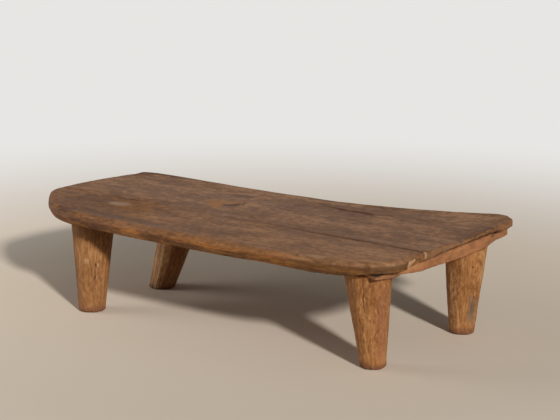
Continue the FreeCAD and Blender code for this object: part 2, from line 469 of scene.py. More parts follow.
@dataclass(frozen=True)
class Hump:
    """A soft hump along a line: its middle, half its width, and its height."""

    middle: float
    half: float
    height: float = 1.0

    def at(self, values: np.ndarray) -> np.ndarray:
        """Return the height of the hump at each value."""
        return self.height * np.exp(-(((values - self.middle) / self.half) ** 2))


@dataclass(frozen=True)
class Lumps:
    """Uneven ground: its step of a piece's seed, its lumps to the metre each way, and their height."""

    step: int
    count: Place
    height: float = 1.0

    def at(self, work: Carving) -> np.ndarray:
        """Return the height at each point of a piece."""
        return work.noise(self.step, self.count) * self.height


def plain_mesh(piece: bpy.types.Object) -> bpy.types.Mesh:
    """Work the modifiers of a piece into a mesh, and take them off the piece.

    Args:
        piece: The piece with its modifiers.

    Returns:
        The plain mesh.
    """
    graph = bpy.context.evaluated_depsgraph_get()
    mesh = bpy.data.meshes.new_from_object(piece.evaluated_get(graph))
    piece.modifiers.clear()
    return mesh


def add_piece(name: str, mesh: bpy.types.Mesh) -> bpy.types.Object:
    """Put a mesh in the scene.

    Args:
        name: The name of the new piece.
        mesh: Its mesh.

    Returns:
        The piece.
    """
    piece = bpy.data.objects.new(name, mesh)
    bpy.context.scene.collection.objects.link(piece)
    return piece


def working_copy(node: str, name: str, voxel: float) -> bpy.types.Object:
    """Copy a node's mesh and give it an even, fine net of faces.

    Args:
        node: The node to copy.
        name: The new piece's name.
        voxel: The size of the faces, in metres.

    Returns:
        The new piece.
    """
    mesh = frame["nodes"][node].data.copy()
    mesh.materials.clear()
    shape = bmesh.new()
    shape.from_mesh(mesh)
    bmesh.ops.remove_doubles(shape, verts=shape.verts, dist=WELD)
    shape.to_mesh(mesh)
    shape.free()
    piece = add_piece(name, mesh)
    even = piece.modifiers.new("even", "REMESH")
    even.mode = "VOXEL"
    even.voxel_size = voxel
    piece.data = plain_mesh(piece)
    piece.data.name = name
    bpy.data.meshes.remove(mesh)
    return piece


def refine(mesh: bpy.types.Mesh, chosen: np.ndarray) -> None:
    """Halve the faces round the chosen points.

    Args:
        mesh: The mesh to refine.
        chosen: Which of its points lie where finer faces are needed.
    """
    shape = bmesh.new()
    shape.from_mesh(mesh)
    shape.verts.ensure_lookup_table()
    edges = [edge for edge in shape.edges if all(chosen[vert.index] for vert in edge.verts)]
    bmesh.ops.subdivide_edges(shape, edges=edges, cuts=1, use_grid_fill=True)
    bmesh.ops.triangulate(shape, faces=[face for face in shape.faces if len(face.verts) > 4])
    shape.to_mesh(mesh)
    shape.free()


def settle(piece: bpy.types.Object, node: str, finish: bpy.types.Material) -> None:
    """Dress a piece and let it stand for a node.

    Args:
        piece: The finished piece.
        node: The node that it stands for.
        finish: Its material.
    """
    piece.data.materials.clear()
    piece.data.materials.append(finish)
    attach(piece, BODY)
    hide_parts(node)
    log.info("%s: %d faces, for %s", piece.name, len(piece.data.polygons), node)


@dataclass(frozen=True)
class Figure:
    """The figure of the wood, as values on their way through a finish."""

    place: Signal
    streak: Signal
    line: Signal
    mottle: Signal
    fleck: Signal
    pore: Signal
    blotch: Signal


@dataclass(frozen=True)
class WoodFinish:
    """Worn wood: streaks along the grain, stains, and lighter wood where it is rubbed.

    Each figure is given in marks to the metre along the grain and across it, and its layers are the
    detail and the roughness of its noise.
    """

    name: str
    dark: Colour
    middle: Colour
    light: Colour
    worn: Colour
    raw: Colour
    dirt: Colour = (0.030, 0.015, 0.009)
    end_grey: Colour = (0.13, 0.10, 0.065)
    pore_shade: Colour = (0.22, 0.17, 0.13)
    bends: Place = (5.0, 11.0, 11.0)
    streaks: Place = (2.6, 15.0, 15.0)
    lines: Place = (10.0, 75.0, 75.0)
    mottles: Place = (48.0, 52.0, 52.0)
    flecks: Place = (75.0, 330.0, 330.0)
    pores: Place = (45.0, 280.0, 280.0)
    blotches: Place = (7.0, 10.0, 10.0)
    bend_layers: Pair = (2.0, 0.55)
    streak_layers: Pair = (5.0, 0.62)
    line_layers: Pair = (5.0, 0.65)
    mottle_layers: Pair = (6.0, 0.72)
    fine_layers: Pair = (3.0, 0.6)
    blotch_layers: Pair = (4.0, 0.6)
    bend_reach: float = 0.04
    streak_share: float = 0.45
    line_share: float = 0.25
    mottle_share: float = 0.55
    blotch_share: float = 0.45
    contrast: float = 2.6
    tone_stops: Place = (0.05, 0.5, 0.95)
    worn_range: Pair = (0.3, 1.5)
    worn_lines: float = 1.8
    worn_rise: Pair = (0.2, 1.0)
    fleck_depth: float = 0.3
    fleck_level: float = 1.25
    fleck_mottle: float = 0.3
    fleck_rise: Pair = (0.56, 0.74)
    pore_depth: float = 0.5
    pore_mottle: float = 0.5
    pore_rise: Pair = (0.44, 0.26)
    end_least: float = 0.2
    raw_range: Pair = (0.5, 1.15)
    raw_mottle: float = 1.1
    raw_rise: Pair = (0.3, 0.8)
    dirt_least: float = 0.55
    dirt_mottle: float = 0.7
    roughness: float = 0.66
    rough_blotch: float = 0.4
    rough_line: float = 0.3
    rough_mark: float = 0.2
    gloss: float = 0.2
    relief: float = 0.0006
    relief_line: float = 0.6
    relief_pore: float = 0.3
    relief_mottle: float = 0.5

    def material(self) -> bpy.types.Material:
        """Make the finish.

        Returns:
            A new material.
        """
        material, sheet = new_finish(self.name)
        figure = self._figure(sheet)
        marks = self._marks(sheet)
        feeds = {
            "Base Color": self._colour(sheet, figure, marks),
            "Roughness": self._roughness(figure, marks),
            "Normal": self._bump(sheet, figure),
            "Specular IOR Level": self.gloss,
        }
        shader = sheet.node("ShaderNodeBsdfPrincipled", None, feeds)
        sheet.node("ShaderNodeOutputMaterial", None, {"Surface": shader.outputs[0]})
        return material

    def local_marks(self, sheet: NodeSheet, figure: Figure, colour: Signal) -> Signal:
        """Return the colour with marks that only this finish has: none on plain wood."""
        return colour

    @staticmethod
    def _attribute(sheet: NodeSheet, name: str) -> bpy.types.Node:
        """Return the node that reads an attribute of the piece."""
        return sheet.node("ShaderNodeAttribute", {"attribute_name": name})

    def _marks(self, sheet: NodeSheet) -> dict[Mark, Signal]:
        """Read the marks of the piece.

        Args:
            sheet: The finish under construction.

        Returns:
            The amount of each mark.
        """
        marks = self._attribute(sheet, MARKS)
        parts = sheet.split(marks.outputs["Vector"])
        return dict(zip(Mark, (*parts, Signal(sheet, marks.outputs["Alpha"]))))

    def _figure(self, sheet: NodeSheet) -> Figure:
        """Lay out the figure of the wood, along a grain that bends a little.

        Args:
            sheet: The finish under construction.

        Returns:
            The parts of the figure.
        """
        place = Signal(sheet, self._attribute(sheet, GRAIN).outputs["Vector"])
        bend = (sheet.figure(place, self.bends, self.bend_layers) - HALF) * self.bend_reach
        bent = sheet.vector("ADD", place, sheet.joined(0.0, bend, bend))
        return Figure(
            place=place,
            streak=sheet.figure(bent, self.streaks, self.streak_layers),
            line=sheet.figure(bent, self.lines, self.line_layers),
            mottle=sheet.figure(bent, self.mottles, self.mottle_layers),
            fleck=sheet.figure(bent, self.flecks, self.fine_layers),
            pore=sheet.figure(bent, self.pores, self.fine_layers),
            blotch=sheet.figure(place, self.blotches, self.blotch_layers),
        )

    def _tone(self, figure: Figure) -> Signal:
        """Return how light the wood is at each place, from zero to one.

        Args:
            figure: The figure of the wood.

        Returns:
            The tone.
        """
        tone = (figure.streak - HALF) * self.streak_share + (figure.blotch - HALF) * self.blotch_share
        tone = tone + (figure.line - HALF) * self.line_share
        tone = tone + (figure.mottle - HALF) * self.mottle_share
        return (tone * self.contrast + HALF).limited()

    def _colour(self, sheet: NodeSheet, figure: Figure, marks: dict[Mark, Signal]) -> Signal:
        """Lay the colours of the wood over one another.

        Args:
            sheet: The finish under construction.
            figure: The figure of the wood.
            marks: The marks of the piece.

        Returns:
            The colour of the wood with all its marks.
        """
        tone = self._tone(figure)
        mottle = figure.mottle - HALF
        stops = list(zip(self.tone_stops, (self.dark, self.middle, self.light)))
        ramp = sheet.node("ShaderNodeValToRGB", {"stops": stops}, {0: tone})
        rub = marks[Mark.WEAR] + (figure.line - HALF) * self.worn_lines + (figure.streak - HALF)
        worn = sheet.blend(tone, *(shade(self.worn, level) for level in self.worn_range))
        colour = sheet.blend(sheet.ease(rub, *self.worn_rise), Signal(sheet, ramp.outputs[0]), worn)
        colour = self.local_marks(sheet, figure, colour)
        pale = sheet.ease(figure.fleck + mottle * self.fleck_mottle, *self.fleck_rise) * self.fleck_depth
        colour = sheet.blend(pale, colour, shade(self.light, self.fleck_level))
        closed = sheet.ease(figure.pore + mottle * self.pore_mottle, *self.pore_rise) * self.pore_depth
        colour = sheet.blend(closed, colour, self.pore_shade, "MULTIPLY")
        # The end-grain and raw colours also paint light where the marks lay them.
        end = marks[Mark.END] * (self.end_least + figure.line).limited()
        colour = sheet.blend(end, colour, self.end_grey)
        bare = sheet.blend(tone, *(shade(self.raw, level) for level in self.raw_range))
        broken = sheet.ease(marks[Mark.RAW] + mottle * self.raw_mottle, *self.raw_rise)
        colour = sheet.blend(broken, colour, bare)
        # The dirt colour also paints shade where the marks lay it.
        grime = marks[Mark.DIRT] * (self.dirt_least + figure.mottle * self.dirt_mottle)
        return sheet.blend(grime.limited(), colour, self.dirt)

    def _roughness(self, figure: Figure, marks: dict[Mark, Signal]) -> Signal:
        """Return how dull the wood is, most of all on dirt and end grain.

        Args:
            figure: The figure of the wood.
            marks: The marks of the piece.

        Returns:
            The roughness.
        """
        rough = self.roughness + (figure.blotch - HALF) * self.rough_blotch
        rough = rough + (figure.line - HALF) * self.rough_line
        return (rough + (marks[Mark.DIRT] + marks[Mark.END]) * self.rough_mark).limited()

    def _bump(self, sheet: NodeSheet, figure: Figure) -> bpy.types.NodeSocket:
        """Raise the grain a little.

        Args:
            sheet: The finish under construction.
            figure: The figure of the wood.

        Returns:
            The direction of the surface.
        """
        height = figure.line * self.relief_line + figure.pore * self.relief_pore
        height = height + figure.mottle * self.relief_mottle
        feeds = {"Strength": 1.0, "Distance": self.relief, "Height": height}
        return sheet.node("ShaderNodeBump", None, feeds).outputs[0]


@dataclass(frozen=True)
class Patch:
    """A stain or a rubbed patch on the boards, as an oval in the plan."""

    centre: Spot
    reach: Pair
    colour: Colour
    strength: float
    mode: str = "MIX"


@dataclass(frozen=True)
class BoardFinish(WoodFinish):
    """The dark worn wood of the boards, with its own stains and figure, and warmer on its sides."""

    patches: tuple[Patch, ...] = ()
    patch_rise: Pair = (1.0, 0.35)
    ragged: float = 0.9
    side_tint: Colour = (1.0, 0.86, 0.48)
    side_heights: Pair = (0.245, 0.236)
    fibres: Place = (14.0, 14.0, 300.0)
    fibre_layers: Pair = (5.0, 0.65)
    fibre_rise: Pair = (0.36, 0.64)
    fibre_range: Pair = (0.66, 1.34)

    def local_marks(self, sheet: NodeSheet, figure: Figure, colour: Signal) -> Signal:
        """Tint the sides along their fibres and lay the patches over the boards.

        Args:
            sheet: The finish under construction.
            figure: The figure of the wood.
            colour: The colour of the plain wood.

        Returns:
            The colour with the marks on it.
        """
        x, y, z = sheet.split(figure.place)
        fibre = sheet.figure(figure.place, self.fibres, self.fibre_layers)
        shades = (shade(self.side_tint, level) for level in self.fibre_range)
        tint = sheet.blend(sheet.ease(fibre, *self.fibre_rise), *shades)
        colour = sheet.blend(sheet.ease(z, *self.side_heights), colour, tint, "MULTIPLY")
        for patch in self.patches:
            across = (x - patch.centre[0]) / patch.reach[0]
            up = (y - patch.centre[1]) / patch.reach[1]
            off = (across * across + up * up) ** 0.5 + (figure.line - HALF) * self.ragged
            share = sheet.ease(off, *self.patch_rise) * patch.strength
            colour = sheet.blend(share, colour, patch.colour, patch.mode)
        return colour


FRONT_FINISH = BoardFinish(
    name="dark_worn_front_board",
    dark=(0.087, 0.033, 0.0115),
    middle=(0.192, 0.089, 0.038),
    light=(0.33, 0.169, 0.081),
    worn=(0.197, 0.084, 0.030),
    raw=(0.43, 0.235, 0.115),
    end_grey=(0.19, 0.112, 0.062),
    streaks=(3.0, 17.0, 45.0),
    lines=(24.0, 80.0, 220.0),
    mottles=(62.0, 78.0, 150.0),
    streak_share=0.45,
    line_share=0.45,
    mottle_share=0.44,
    blotch_share=0.46,
    contrast=3.3,
    gloss=0.16,
    patches=(
        Patch((0.376, -0.250), (0.032, 0.014), (0.36, 0.22, 0.12), 0.6),
        Patch((-0.145, 0.054), (0.036, 0.030), (0.28, 0.114, 0.030), 0.6),
        Patch((-0.124, 0.031), (0.028, 0.026), (0.30, 0.120, 0.032), 0.85),
        Patch((-0.106, 0.014), (0.020, 0.018), (0.28, 0.114, 0.030), 0.5),
        Patch((-0.124, 0.070), (0.027, 0.022), (0.28, 0.114, 0.032), 0.75),
        Patch((-0.100, 0.078), (0.027, 0.018), (0.27, 0.110, 0.032), 0.7),
        Patch((-0.098, 0.042), (0.016, 0.012), (0.085, 0.034, 0.012), 0.75),
        Patch((-0.078, 0.058), (0.013, 0.013), (0.075, 0.030, 0.010), 0.7),
        Patch((-0.084, 0.076), (0.014, 0.009), (0.080, 0.034, 0.013), 0.5),
        Patch((-0.137, 0.151), (0.060, 0.018), (0.075, 0.036, 0.02), 0.8),
        Patch((-0.42, -0.075), (0.16, 0.075), (0.79, 0.77, 0.73), 1.0, "MULTIPLY"),
        Patch((-0.34, -0.13), (0.24, 0.18), (0.665, 0.535, 0.32), 1.0, "MULTIPLY"),
        Patch((-0.320, -0.103), (0.046, 0.026), (0.29, 0.178, 0.108), 0.95),
        Patch((-0.440, -0.190), (0.085, 0.036), (1.24, 1.25, 1.20), 1.0, "MULTIPLY"),
        Patch((-0.310, -0.234), (0.105, 0.026), (1.22, 1.27, 1.40), 1.0, "MULTIPLY"),
        Patch((-0.170, -0.257), (0.130, 0.020), (1.18, 1.23, 1.40), 1.0, "MULTIPLY"),
        Patch((-0.20, -0.222), (0.14, 0.026), (0.072, 0.035, 0.018), 0.6),
        Patch((0.28, -0.02), (0.10, 0.035), (0.09, 0.045, 0.025), 0.4),
        Patch((0.075, 0.224), (0.10, 0.012), (0.075, 0.036, 0.02), 0.6),
        Patch((0.288, 0.150), (0.030, 0.012), (0.30, 0.15, 0.06), 0.5),
    ),
)
REAR_FINISH = replace(
    FRONT_FINISH,
    name="dark_worn_rear_board",
    dark=(0.089, 0.0345, 0.0135),
    middle=(0.172, 0.083, 0.040),
    light=(0.318, 0.170, 0.091),
)
BATTEN_FINISH = WoodFinish(
    name="smooth_batten",
    dark=(0.15, 0.058, 0.021),
    middle=(0.265, 0.105, 0.038),
    light=(0.37, 0.165, 0.066),
    worn=(0.33, 0.138, 0.052),
    raw=(0.42, 0.225, 0.095),
    streaks=(3.0, 30.0, 30.0),
    contrast=2.4,
    pore_depth=0.3,
    roughness=0.55,
    gloss=0.3,
    relief=0.0004,
)
LEG_FINISH = WoodFinish(
    name="honey_leg",
    dark=(0.130, 0.044, 0.012),
    middle=(0.266, 0.110, 0.033),
    light=(0.42, 0.208, 0.078),
    worn=(0.265, 0.105, 0.042),
    worn_range=(0.6, 1.3),
    raw=(0.50, 0.29, 0.13),
    streaks=(5.0, 28.0, 28.0),
    lines=(24.0, 190.0, 190.0),
    mottles=(80.0, 190.0, 190.0),
    flecks=(65.0, 280.0, 280.0),
    pores=(50.0, 250.0, 250.0),
    streak_share=0.35,
    line_share=0.5,
    mottle_share=0.48,
    contrast=2.6,
    fleck_depth=0.6,
    pore_depth=0.42,
    roughness=0.68,
    relief=0.0008,
)
PEG_FINISH = WoodFinish(
    name="raw_peg",
    dark=(0.20, 0.10, 0.042),
    middle=(0.33, 0.185, 0.085),
    light=(0.43, 0.27, 0.14),
    worn=(0.36, 0.19, 0.08),
    raw=(0.43, 0.27, 0.14),
    streaks=(20.0, 160.0, 160.0),
)


@dataclass(frozen=True)
class HiddenFinish:
    """Plain raw wood for the joinery that no one sees."""

    name: str = "raw_joinery"
    dark: Colour = (0.30, 0.17, 0.08)
    light: Colour = (0.46, 0.29, 0.15)
    lines: Place = (220.0, 30.0, 220.0)
    line_layers: Pair = (4.0, 0.55)
    line_rise: Pair = (0.3, 0.7)
    roughness: float = 0.65
    rough_line: float = 0.2

    def material(self) -> bpy.types.Material:
        """Make the finish.

        Returns:
            A new material.
        """
        material, sheet = new_finish(self.name)
        line = sheet.figure(sheet.node("ShaderNodeTexCoord").outputs["Object"], self.lines, self.line_layers)
        colour = sheet.blend(sheet.ease(line, *self.line_rise), self.dark, self.light)
        feeds = {"Base Color": colour, "Roughness": self.roughness + (line - HALF) * self.rough_line}
        shader = sheet.node("ShaderNodeBsdfPrincipled", None, feeds)
        sheet.node("ShaderNodeOutputMaterial", None, {"Surface": shader.outputs[0]})
        return material


# The front board's end rises towards the joint, and the right batten's upper face follows it.
END_CLIMB = Rise(-0.145, -0.085)
END_RISE = 0.0045


@dataclass(frozen=True)
class BoardSplit:
    """A split in the upper face of a board: its line in the plan and how it opens."""

    path: tuple[Spot, ...]
    width: float
    depth: float
    lip: float


@dataclass
class Board:
    """One board of the top, worn along its edges and split by age."""

    node: str
    name: str
    seed: int
    voxel: float
    splits: tuple[BoardSplit, ...] = ()
    refine_reach: float = 0.009
    refine_from: float = 0.535
    refine_facing: float = -0.3

    edge_facing: float = 0.75
    above_pegs: float = 0.2395
    dowel_reach: float = 0.050
    end_start: float = 0.50

    flat_gain: float = 2.0
    flat_least: float = 0.6
    top_lumps: tuple[Lumps, ...] = (
        Lumps(0, (3.5, 9.0, 1.0), 1.1 * MM),
        Lumps(1, (13.0, 34.0, 1.0), 0.45 * MM),
        Lumps(2, (9.0, 105.0, 1.0), 0.28 * MM),
    )
    under_chops: Lumps = Lumps(3, (16.0, 22.0, 1.0), 0.9 * MM)
    side_lumps: tuple[Lumps, ...] = (
        Lumps(4, (11.0, 11.0, 4.0), 1.3 * MM),
        Lumps(5, (38.0, 38.0, 60.0), 0.8 * MM),
    )
    side_clear: float = 0.006

    up_gain: float = 1.5
    front: Rise = Rise(0.09, 0.13)
    dips: Lumps = Lumps(6, (22.0, 22.0, 1.0))
    arris_reach: Rise = Rise(0.0, 0.011)
    arris_drop: Pair = (0.33 * MM, 1.1 * MM)
    round_reach: float = 0.018
    round_height: Rise = Rise(0.226, 0.249)
    round_drop: float = 0.006

    wear_reach: float = 0.055
    wear_patches: Lumps = Lumps(7, (6.0, 14.0, 1.0), 0.5)
    wear_mean: float = 0.75
    wear_limits: Pair = (0.2, 1.4)
    wear_narrow_right: Rise = Rise(0.46, 0.52)
    wear_narrow_back: Rise = Rise(0.05, 0.12)
    wear_narrow_share: float = 0.75
    wear_end: Rise = Rise(0.26, 0.40)
    wear_end_share: float = 0.7
    wear_height: Rise = Rise(0.233, 0.246)
    wear_range: Pair = (0.5, 1.0)

    dark_sway: float = 0.003
    dark_height: Rise = Rise(0.232, 0.242)
    dark_facing: Rise = Rise(0.5, 0.9)
    dark_middle: tuple[Rise, Rise] = (Rise(-0.02, 0.06), Rise(0.24, 0.31))
    dark_left: Rise = Rise(-0.18, -0.07)
    dark_depth: float = 0.02
    dark_middle_depth: float = 0.31
    dark_left_depth: float = 0.38
    dark_dip_depth: float = 0.08

    swell_height: Rise = Rise(0.2195, 0.229)
    swell_back: Rise = Rise(-0.075, -0.03)
    swell_back_share: float = 0.6
    swell_end: Rise = Rise(-0.50, -0.42)
    swell_reach: float = 0.0068

    joint_left: Spot = (-0.577, -0.040)
    joint_right: Spot = (0.546, -0.082)
    joint_opening: Rise = Rise(0.0, 0.45)
    joint_round: Rise = Rise(0.0005, 0.006)
    joint_drop: Pair = (0.2 * MM, 1.0 * MM)
    joint_grime: Rise = Rise(0.001, 0.008)
    joint_dirt: Pair = (0.05, 0.80)

    split_facing: float = 0.5
    split_wander: Lumps = Lumps(8, (60.0, 60.0, 1.0), 1.2 * MM)
    split_start: Rise = Rise(0.0, 0.25)
    split_end: Rise = Rise(0.7, 1.0)
    split_patches: Lumps = Lumps(12, (38.0, 5.0, 1.0), 0.7)
    split_mean: float = 0.75
    split_least: float = 0.15
    split_lip: Hump = Hump(0.008, 0.007)
    split_grime_share: float = 1.6
    split_dirt: Pair = (0.1, 0.9)

    end_gain: float = 1.4
    end_reach: Rise = Rise(0.50, 0.53)
    end_tears: Lumps = Lumps(9, (30.0, 150.0, 170.0), 1.1 * MM)
    end_bites: Lumps = Lumps(10, (20.0, 75.0, 60.0))
    bite_least: float = 0.35
    bite_depth: float = 3.0 * MM
    end_specks: Lumps = Lumps(11, (40.0, 60.0, 90.0))
    speck_mean: float = 0.55
    end_fade: Rise = Rise(0.03, 0.16)
    end_range: Pair = (0.25, 1.0)
    end_grime: Lumps = Lumps(14, (60.0, 130.0, 110.0))
    grime_least: float = 0.1
    grime_depth: float = 0.75

    def build(self) -> bpy.types.Object:
        """Shape the board.

        Returns:
            The board as a piece.
        """
        piece = working_copy(self.node, self.name, self.voxel)
        self._refine(piece.data)
        work = Carving(piece.data, self.seed)
        edge_gap = self._edge_gap(work)
        self._plane(work)
        self._rub(work, edge_gap)
        self._darken(work)
        self._round(work, edge_gap)
        self._swell(work)
        self._joint(work)
        for split in self.splits:
            self._open(work, split)
        self._square_end(work)
        self._details(work, edge_gap)
        work.write(work.places)
        return piece

    def _joint_offset(self, places: np.ndarray) -> np.ndarray:
        """Return how far points lie behind the joint line."""
        path = np.array([self.joint_left, self.joint_right])
        return path_offset(places[:, :2], path)[0]

    def _refine(self, mesh: bpy.types.Mesh) -> None:
        """Halve the faces along the splits, the joint and the square end.

        Args:
            mesh: The mesh of the board.
        """
        work = Carving(mesh)
        chosen = np.abs(self._joint_offset(work.places)) < self.refine_reach
        chosen |= work.places[:, 0] > self.refine_from
        for split in self.splits:
            offset, _ = path_offset(work.places[:, :2], np.array(split.path))
            chosen |= np.abs(offset) < self.refine_reach
        refine(mesh, chosen & (work.normals[:, 2] > self.refine_facing))

    def _edge_gap(self, work: Carving) -> np.ndarray:
        """Measure how far the points lie from the outer edge of the board, in the plan.

        Args:
            work: The board.

        Returns:
            The distance of each point.
        """
        upright = np.abs(work.normals[:, 2]) < self.edge_facing
        upright &= work.places[:, 2] > self.above_pegs
        clear = np.abs(self._joint_offset(work.places)) > self.dowel_reach
        outer = upright & (clear | (np.abs(work.places[:, 0]) > self.end_start))
        rim = work.places[outer][::2]
        tree = KDTree(len(rim))
        for index, place in enumerate(rim):
            tree.insert((place[0], place[1], 0.0), index)
        tree.balance()
        return np.array([tree.find((place[0], place[1], 0.0))[2] for place in work.places])

    def _plane(self, work: Carving) -> None:
        """Give the faces the waves of hand tools, and the edges an uneven line.

        Args:
            work: The board.
        """
        top = work.facing(2, self.flat_gain, self.flat_least)
        under = work.facing(2, -self.flat_gain, self.flat_least)
        side = 1.0 - np.maximum(top, under)
        work.places[:, 2] += top * sum(lumps.at(work) for lumps in self.top_lumps)
        work.places[:, 2] += under * np.abs(self.under_chops.at(work))
        uneven = sum(lumps.at(work) for lumps in self.side_lumps)
        away = np.abs(self._joint_offset(work.places)) > self.side_clear
        work.push(np.where(away, side * uneven, 0.0))

    def _rub(self, work: Carving, edge_gap: np.ndarray) -> None:
        """Mark the rubbed band along the edge.

        Args:
            work: The board.
            edge_gap: How far each point lies from the edge.
        """
        x, y, z = work.places.T
        patchy = np.clip(self.wear_mean + self.wear_patches.at(work), *self.wear_limits)
        narrow = np.maximum(self.wear_narrow_right.up(x), self.wear_narrow_back.up(y))
        reach = self.wear_reach * patchy * (1.0 - self.wear_narrow_share * narrow)
        rubbed = 1.0 - np.clip(edge_gap / reach, 0.0, 1.0)
        rubbed = rubbed * (1.0 - self.wear_end_share * self.front.up(-y) * self.wear_end.up(x))
        work.mark(Mark.WEAR, rubbed * between(*self.wear_range, self.wear_height.up(z)))

    def _dip(self, work: Carving) -> np.ndarray:
        """Return how strongly each place is worn, about one."""
        return 1.0 + self.dips.at(work)

    def _darken(self, work: Carving) -> None:
        """Mark the darker lower face of the edge.

        Args:
            work: The board.
        """
        x, _, z = work.places.T
        dip = self._dip(work)
        low = self.dark_height.down(z + self.dark_sway * dip)
        side = self.dark_facing.down(np.abs(work.normals[:, 2]))
        middle = self.dark_middle[0].up(x) * self.dark_middle[1].down(x)
        depth = self.dark_depth + self.dark_middle_depth * middle
        depth = depth + self.dark_left_depth * self.dark_left.down(x) + self.dark_dip_depth * dip
        work.mark(Mark.DIRT, low * side * depth)

    def _round(self, work: Carving, edge_gap: np.ndarray) -> None:
        """Round the worn arris, most of all at the front.

        Args:
            work: The board.
            edge_gap: How far each point lies from the edge.
        """
        _, y, z = work.places.T
        front = self.front.up(-y)
        near = self.arris_reach.down(edge_gap)
        slope = np.clip(1.0 - edge_gap / self.round_reach, 0.0, 1.0) ** 2
        drop = near * work.facing(2, self.up_gain) * self._dip(work) * between(*self.arris_drop, front)
        drop += front * slope * self.round_height.up(z) * self.round_drop
        work.places[:, 2] -= drop

    def _swell(self, work: Carving) -> None:
        """Let the round end swell a little.

        Args:
            work: The board.
        """
        x, y, z = work.places.T
        over = self.swell_height.up(z) * (1.0 - self.swell_back_share * self.swell_back.up(y))
        work.places[:, 0] -= self.swell_reach * over * self.swell_end.down(x)

    def _joint(self, work: Carving) -> None:
        """Round the arris along the joint, and let dirt gather in it towards the square end.

        Args:
            work: The board.
        """
        offset = np.abs(self._joint_offset(work.places))
        opening = self.joint_opening.up(work.places[:, 0])
        near = self.joint_round.down(offset)
        work.places[:, 2] -= near * work.facing(2, self.up_gain) * between(*self.joint_drop, opening)
        work.mark(Mark.DIRT, self.joint_grime.down(offset) * between(*self.joint_dirt, opening))

    def _open(self, work: Carving, split: BoardSplit) -> None:
        """Open an old split in the upper face, with its back lip raised a little.

        Args:
            work: The board.
            split: The split.
        """
        wander = self.split_wander.at(work)
        offset, share = path_offset(work.places[:, :2], np.array(split.path))
        offset = offset + wander
        patchy = self.split_mean + self.split_patches.at(work)
        fade = self.split_start.up(share) * self.split_end.down(share)
        fade = fade * np.clip(patchy, self.split_least, 1.0)
        top = work.normals[:, 2] > self.split_facing
        groove = Hump(0.0, split.width).at(offset) * fade * top
        lip = self.split_lip.at(offset) * fade * top
        work.places[:, 2] += lip * split.lip - groove * split.depth
        band = Hump(0.0, split.width * self.split_grime_share).at(offset)
        work.mark(Mark.DIRT, band * between(*self.split_dirt, fade) * top)

    def _square_end(self, work: Carving) -> None:
        """Tear the end grain of the square end, and let dirt gather in it.

        Args:
            work: The board.
        """
        end = work.facing(0, self.end_gain) * self.end_reach.up(work.places[:, 0])
        tear = self.end_tears.at(work)
        bite = np.clip(self.end_bites.at(work) - self.bite_least, 0.0, 1.0) * self.bite_depth
        work.push(end * (tear - bite))
        speck = np.clip(self.speck_mean + self.end_specks.at(work), 0.0, 1.0)
        fade = self.end_fade.down(work.places[:, 1])
        work.mark(Mark.END, end * speck * between(*self.end_range, fade))
        grime = np.clip(self.end_grime.at(work) - self.grime_least, 0.0, 1.0)
        work.mark(Mark.DIRT, end * grime * self.grime_depth)

    def _details(self, work: Carving, edge_gap: np.ndarray) -> None:
        """Add what only one of the boards has."""


@dataclass
class FrontBoard(Board):
    """The front board, with a wavy rim and a chip broken from its square end."""

    low_height: Rise = Rise(0.228, 0.244)
    rim_reach: Rise = Rise(0.02, 0.04)
    rim_front: Rise = Rise(0.10, 0.14)
    hollow: Hump = Hump(0.255, 0.075, 0.0032)
    heel: Hump = Hump(0.455, 0.050, 0.0048)
    heel_end: Rise = Rise(0.475, 0.515)
    climb_end: Rise = Rise(0.49, 0.535)

    face: Rise = Rise(0.55, 0.95)
    dark_right: Rise = Rise(0.22, 0.38)
    dark_back: Rise = Rise(-0.155, -0.135)
    dark_reach: float = 0.02
    dark_right_depth: float = 0.62

    broken_end: Rise = Rise(0.520, 0.530)
    thread_offset: float = 0.003
    thread_reach: Rise = Rise(0.001, 0.0025)
    thread_painted_highlight: float = 0.7
    chip_top: Spot = (-0.1230, 0.2465)
    chip_foot: Spot = (-0.1500, 0.2300)
    chip_edge: Rise = Rise(0.00432, 0.0072)
    chip_lumps: Lumps = Lumps(13, (120.0, 120.0, 120.0), 2.5 * MM)
    chip_depth: float = 0.0012
    chip_raw: float = 0.95

    def _details(self, work: Carving, edge_gap: np.ndarray) -> None:
        """Shape the rim, darken the edge towards the square end, paint a highlight along the joint's end and
        break the chip out.

        Args:
            work: The board.
            edge_gap: How far each point lies from the edge.
        """
        self._rim(work, edge_gap)
        x, y, _ = work.places.T
        face = self.face.down(work.normals[:, 2])
        dark = self.dark_right.up(x) * self.dark_back.down(y)
        work.mark(Mark.DIRT, self.dark_right_depth * dark * face * (edge_gap < self.dark_reach))
        # Painted highlight: a thin pale line along the joint at the square end, where the lit arris shows.
        thread = self.thread_reach.down(np.abs(self._joint_offset(work.places) + self.thread_offset))
        work.mark(Mark.RAW, self.thread_painted_highlight * thread * self.broken_end.up(x))
        self._chip(work, face)

    def _rim(self, work: Carving, edge_gap: np.ndarray) -> None:
        """Give the lower edge its hollow and its heel, and let it rise at the square end.

        Args:
            work: The board.
            edge_gap: How far each point lies from the edge.
        """
        x, y, z = work.places.T
        low = self.low_height.down(z)
        rim = low * self.rim_reach.down(edge_gap) * self.rim_front.up(-y)
        wave = self.hollow.at(x) - self.heel.at(x) * self.heel_end.down(x)
        climb = END_CLIMB.up(y) * self.climb_end.up(x)
        work.places[:, 2] += rim * wave + low * climb * END_RISE

    def _chip(self, work: Carving, face: np.ndarray) -> None:
        """Break the chip out and leave raw wood there.

        Args:
            work: The board.
            face: How far each point lies on the end face.
        """
        path = np.array([self.chip_top, self.chip_foot])
        offset, _ = path_offset(work.places[:, 1:], path)
        ragged = self.chip_lumps.at(work)
        inside = self.chip_edge.down(np.abs(offset + ragged))
        inside = inside * self.broken_end.up(work.places[:, 0]) * face
        work.push(-inside * self.chip_depth)
        work.clear(Mark.DIRT, inside)
        work.mark(Mark.RAW, inside * self.chip_raw)


